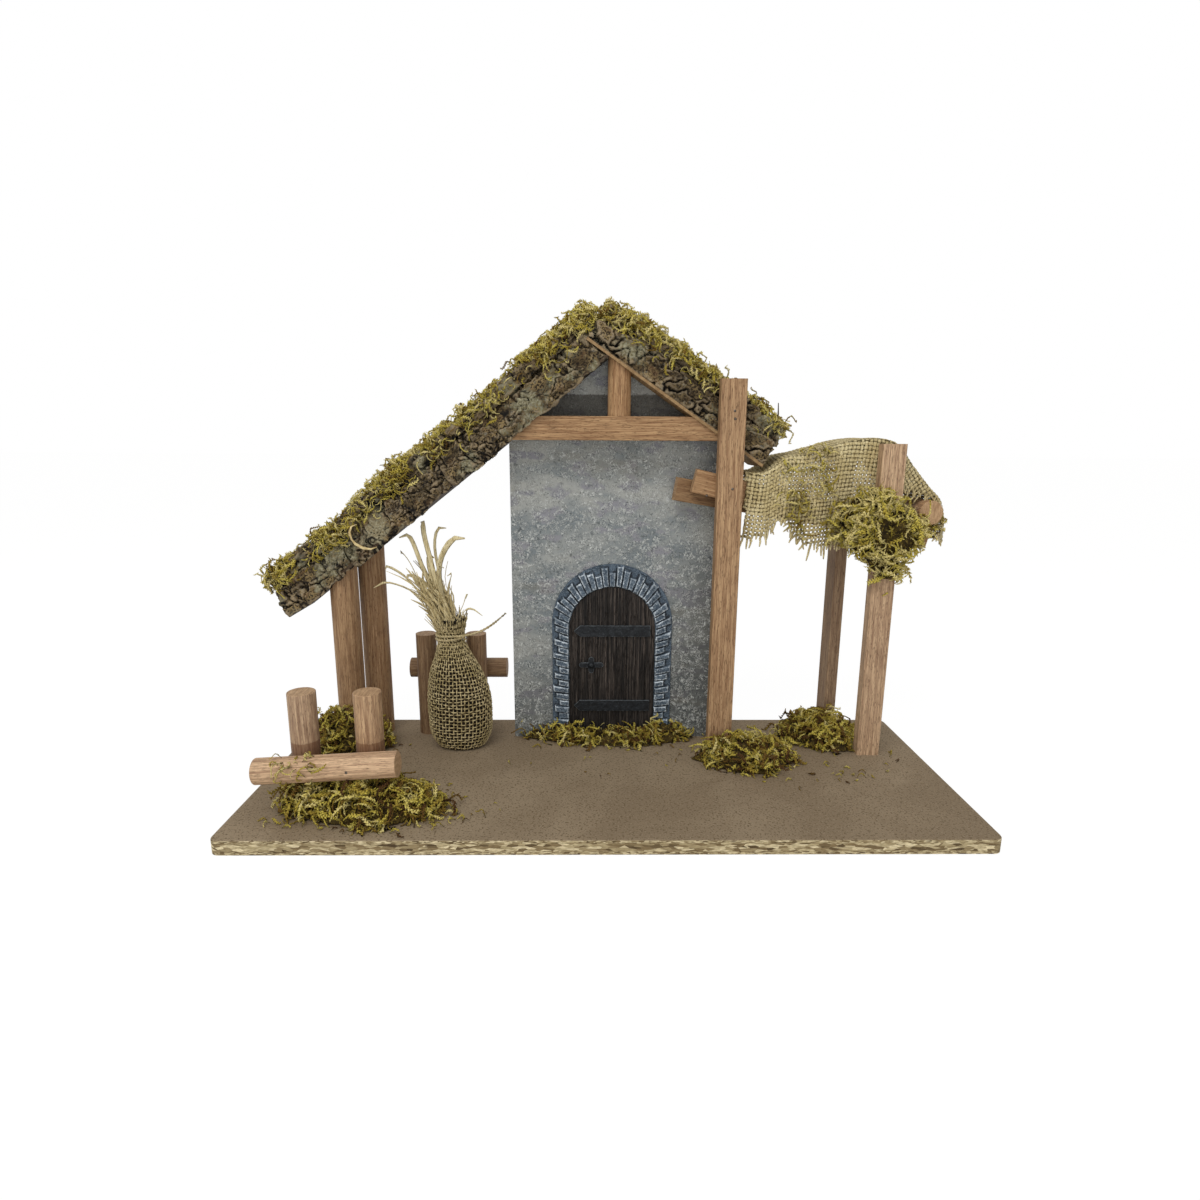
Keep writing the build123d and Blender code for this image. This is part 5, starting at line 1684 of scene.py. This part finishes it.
for number, (root, elbow, tip, width) in enumerate(blades):
    depth = sack_y + 4.5 * sin(2.4 * number)
    shares = np.linspace(0, 1, 12)
    root_point = np.array((root[0], depth, root[1] - 8))
    elbow_point = np.array((elbow[0], depth + 3 * sin(1.7 * number), elbow[1]))
    tip_point = np.array((tip[0], depth + 7 * sin(1.7 * number + 0.6), tip[1]))
    control = 2 * elbow_point - (root_point + tip_point) / 2
    path = (
        np.outer((1 - shares) ** 2, root_point)
        + np.outer(2 * shares * (1 - shares), control * 0.5 + elbow_point * 0.5)
        + np.outer(shares**2, tip_point)
    )
    droop = np.clip((shares - 0.85) / 0.15, 0, 1) ** 2
    path[:, 0] += 1.8 * np.sin(6 * shares + number) * shares
    path[:, 2] -= 4.0 * droop
    path[:, 0] += 3.0 * droop * (1 if number % 3 else -1)
    twist = 1.2 * sin(number) + 3.6 * shares * sin(3.1 * number)
    normals = np.stack([np.sin(twist) * 0.7, -np.cos(twist), 0.25 * np.sin(2 * twist)], axis=1)
    outline = 1.2 * width * np.clip(np.minimum(0.45 + 2.2 * shares, 6 * (1.04 - shares)), 0.2, 1.0)
    ribbons.append(strand(path * mm, normals, outline * mm, (0.32 + 0.05 * width) * mm, 6))
add_piece("straw_blades", bundle("straw_blades", ribbons, blade), "straw")


# The twine: two-ply jute, wound round the neck of the sack; its tail is led off to the right.
# Its route is run as a smooth curve, and the two plies are laid round that.
twine_wrap = 9.1
twine_turns = 1.75
twine_pitch = 2.6
twine_low = sack_neck_z - twine_turns * twine_pitch / 2 + 1.25
ply_lay = 4.5 * mm
ply_offset = 0.42 * mm
twine_route = []
for step in range(22):
    turns = twine_turns * step / 21
    angle = 2 * pi * (turns - twine_turns) - pi / 2
    x = sack_neck_x + twine_wrap * cos(angle)
    y = sack_y + twine_wrap * sin(angle)
    twine_route.append((x, y, twine_low + turns * twine_pitch))
tail_x, tail_y, tail_z = twine_route[-1]
twine_route.extend(
    [
        (tail_x + 9, tail_y - 0.4, tail_z + 0.3),
        (tail_x + 20, tail_y, tail_z + 3),
        (tail_x + 29, tail_y, tail_z + 8.5),
        (tail_x + 36, tail_y, tail_z + 15),
    ]
)
twine_curve = bpy.data.curves.new("twine_route", "CURVE")
twine_curve.dimensions = "3D"
twine_spline = twine_curve.splines.new("NURBS")
twine_spline.points.add(len(twine_route) - 1)
for point, spot in zip(twine_spline.points, twine_route):
    point.co = (spot[0] * mm, spot[1] * mm, spot[2] * mm, 1)
twine_spline.order_u = 3
twine_spline.use_endpoint_u = True
twine_spline.resolution_u = 8
twine_carrier = bpy.data.objects.new("twine_route", twine_curve)
scene.collection.objects.link(twine_carrier)
depsgraph = bpy.context.evaluated_depsgraph_get()
twine_line = bpy.data.meshes.new_from_object(twine_carrier.evaluated_get(depsgraph))
twine_points = np.array([corner.co for corner in twine_line.vertices])
bpy.data.objects.remove(twine_carrier)
twine_steps = np.concatenate(([0], np.cumsum(np.linalg.norm(np.diff(twine_points, axis=0), axis=1))))
twine_length = float(twine_steps[-1])
headings = unit(np.gradient(twine_points, axis=0))
first_side = unit(np.cross(headings, (0.05, 0.1, 1.0)))
second_side = np.cross(headings, first_side)
loosened = 1 + 1.2 * np.clip((twine_steps / twine_length - 0.93) / 0.07, 0, 1)
plies = []
ply_rises = []
for ply in range(2):
    lay_turn = 2 * pi * twine_steps / ply_lay + pi * ply
    around = first_side * np.cos(lay_turn)[:, None] + second_side * np.sin(lay_turn)[:, None]
    ply_line = twine_points + around * (ply_offset * loosened)[:, None]
    plies.append(strand(ply_line, around, 1.0 * mm, 0.95 * mm, 6))
    ply_rises.append(np.full(6 * len(twine_points), 0.5))
twine_jute = burlap("twine_jute", screen(224, 208, 166), screen(200, 182, 136), screen(156, 136, 94))
twine_mesh = bundle("sack_twine", plies, twine_jute, {"rise": ply_rises})
twine = add_piece("sack_twine", twine_mesh, "twine", "sack_tie")
tuple(value * mm for value in twine_route[0])
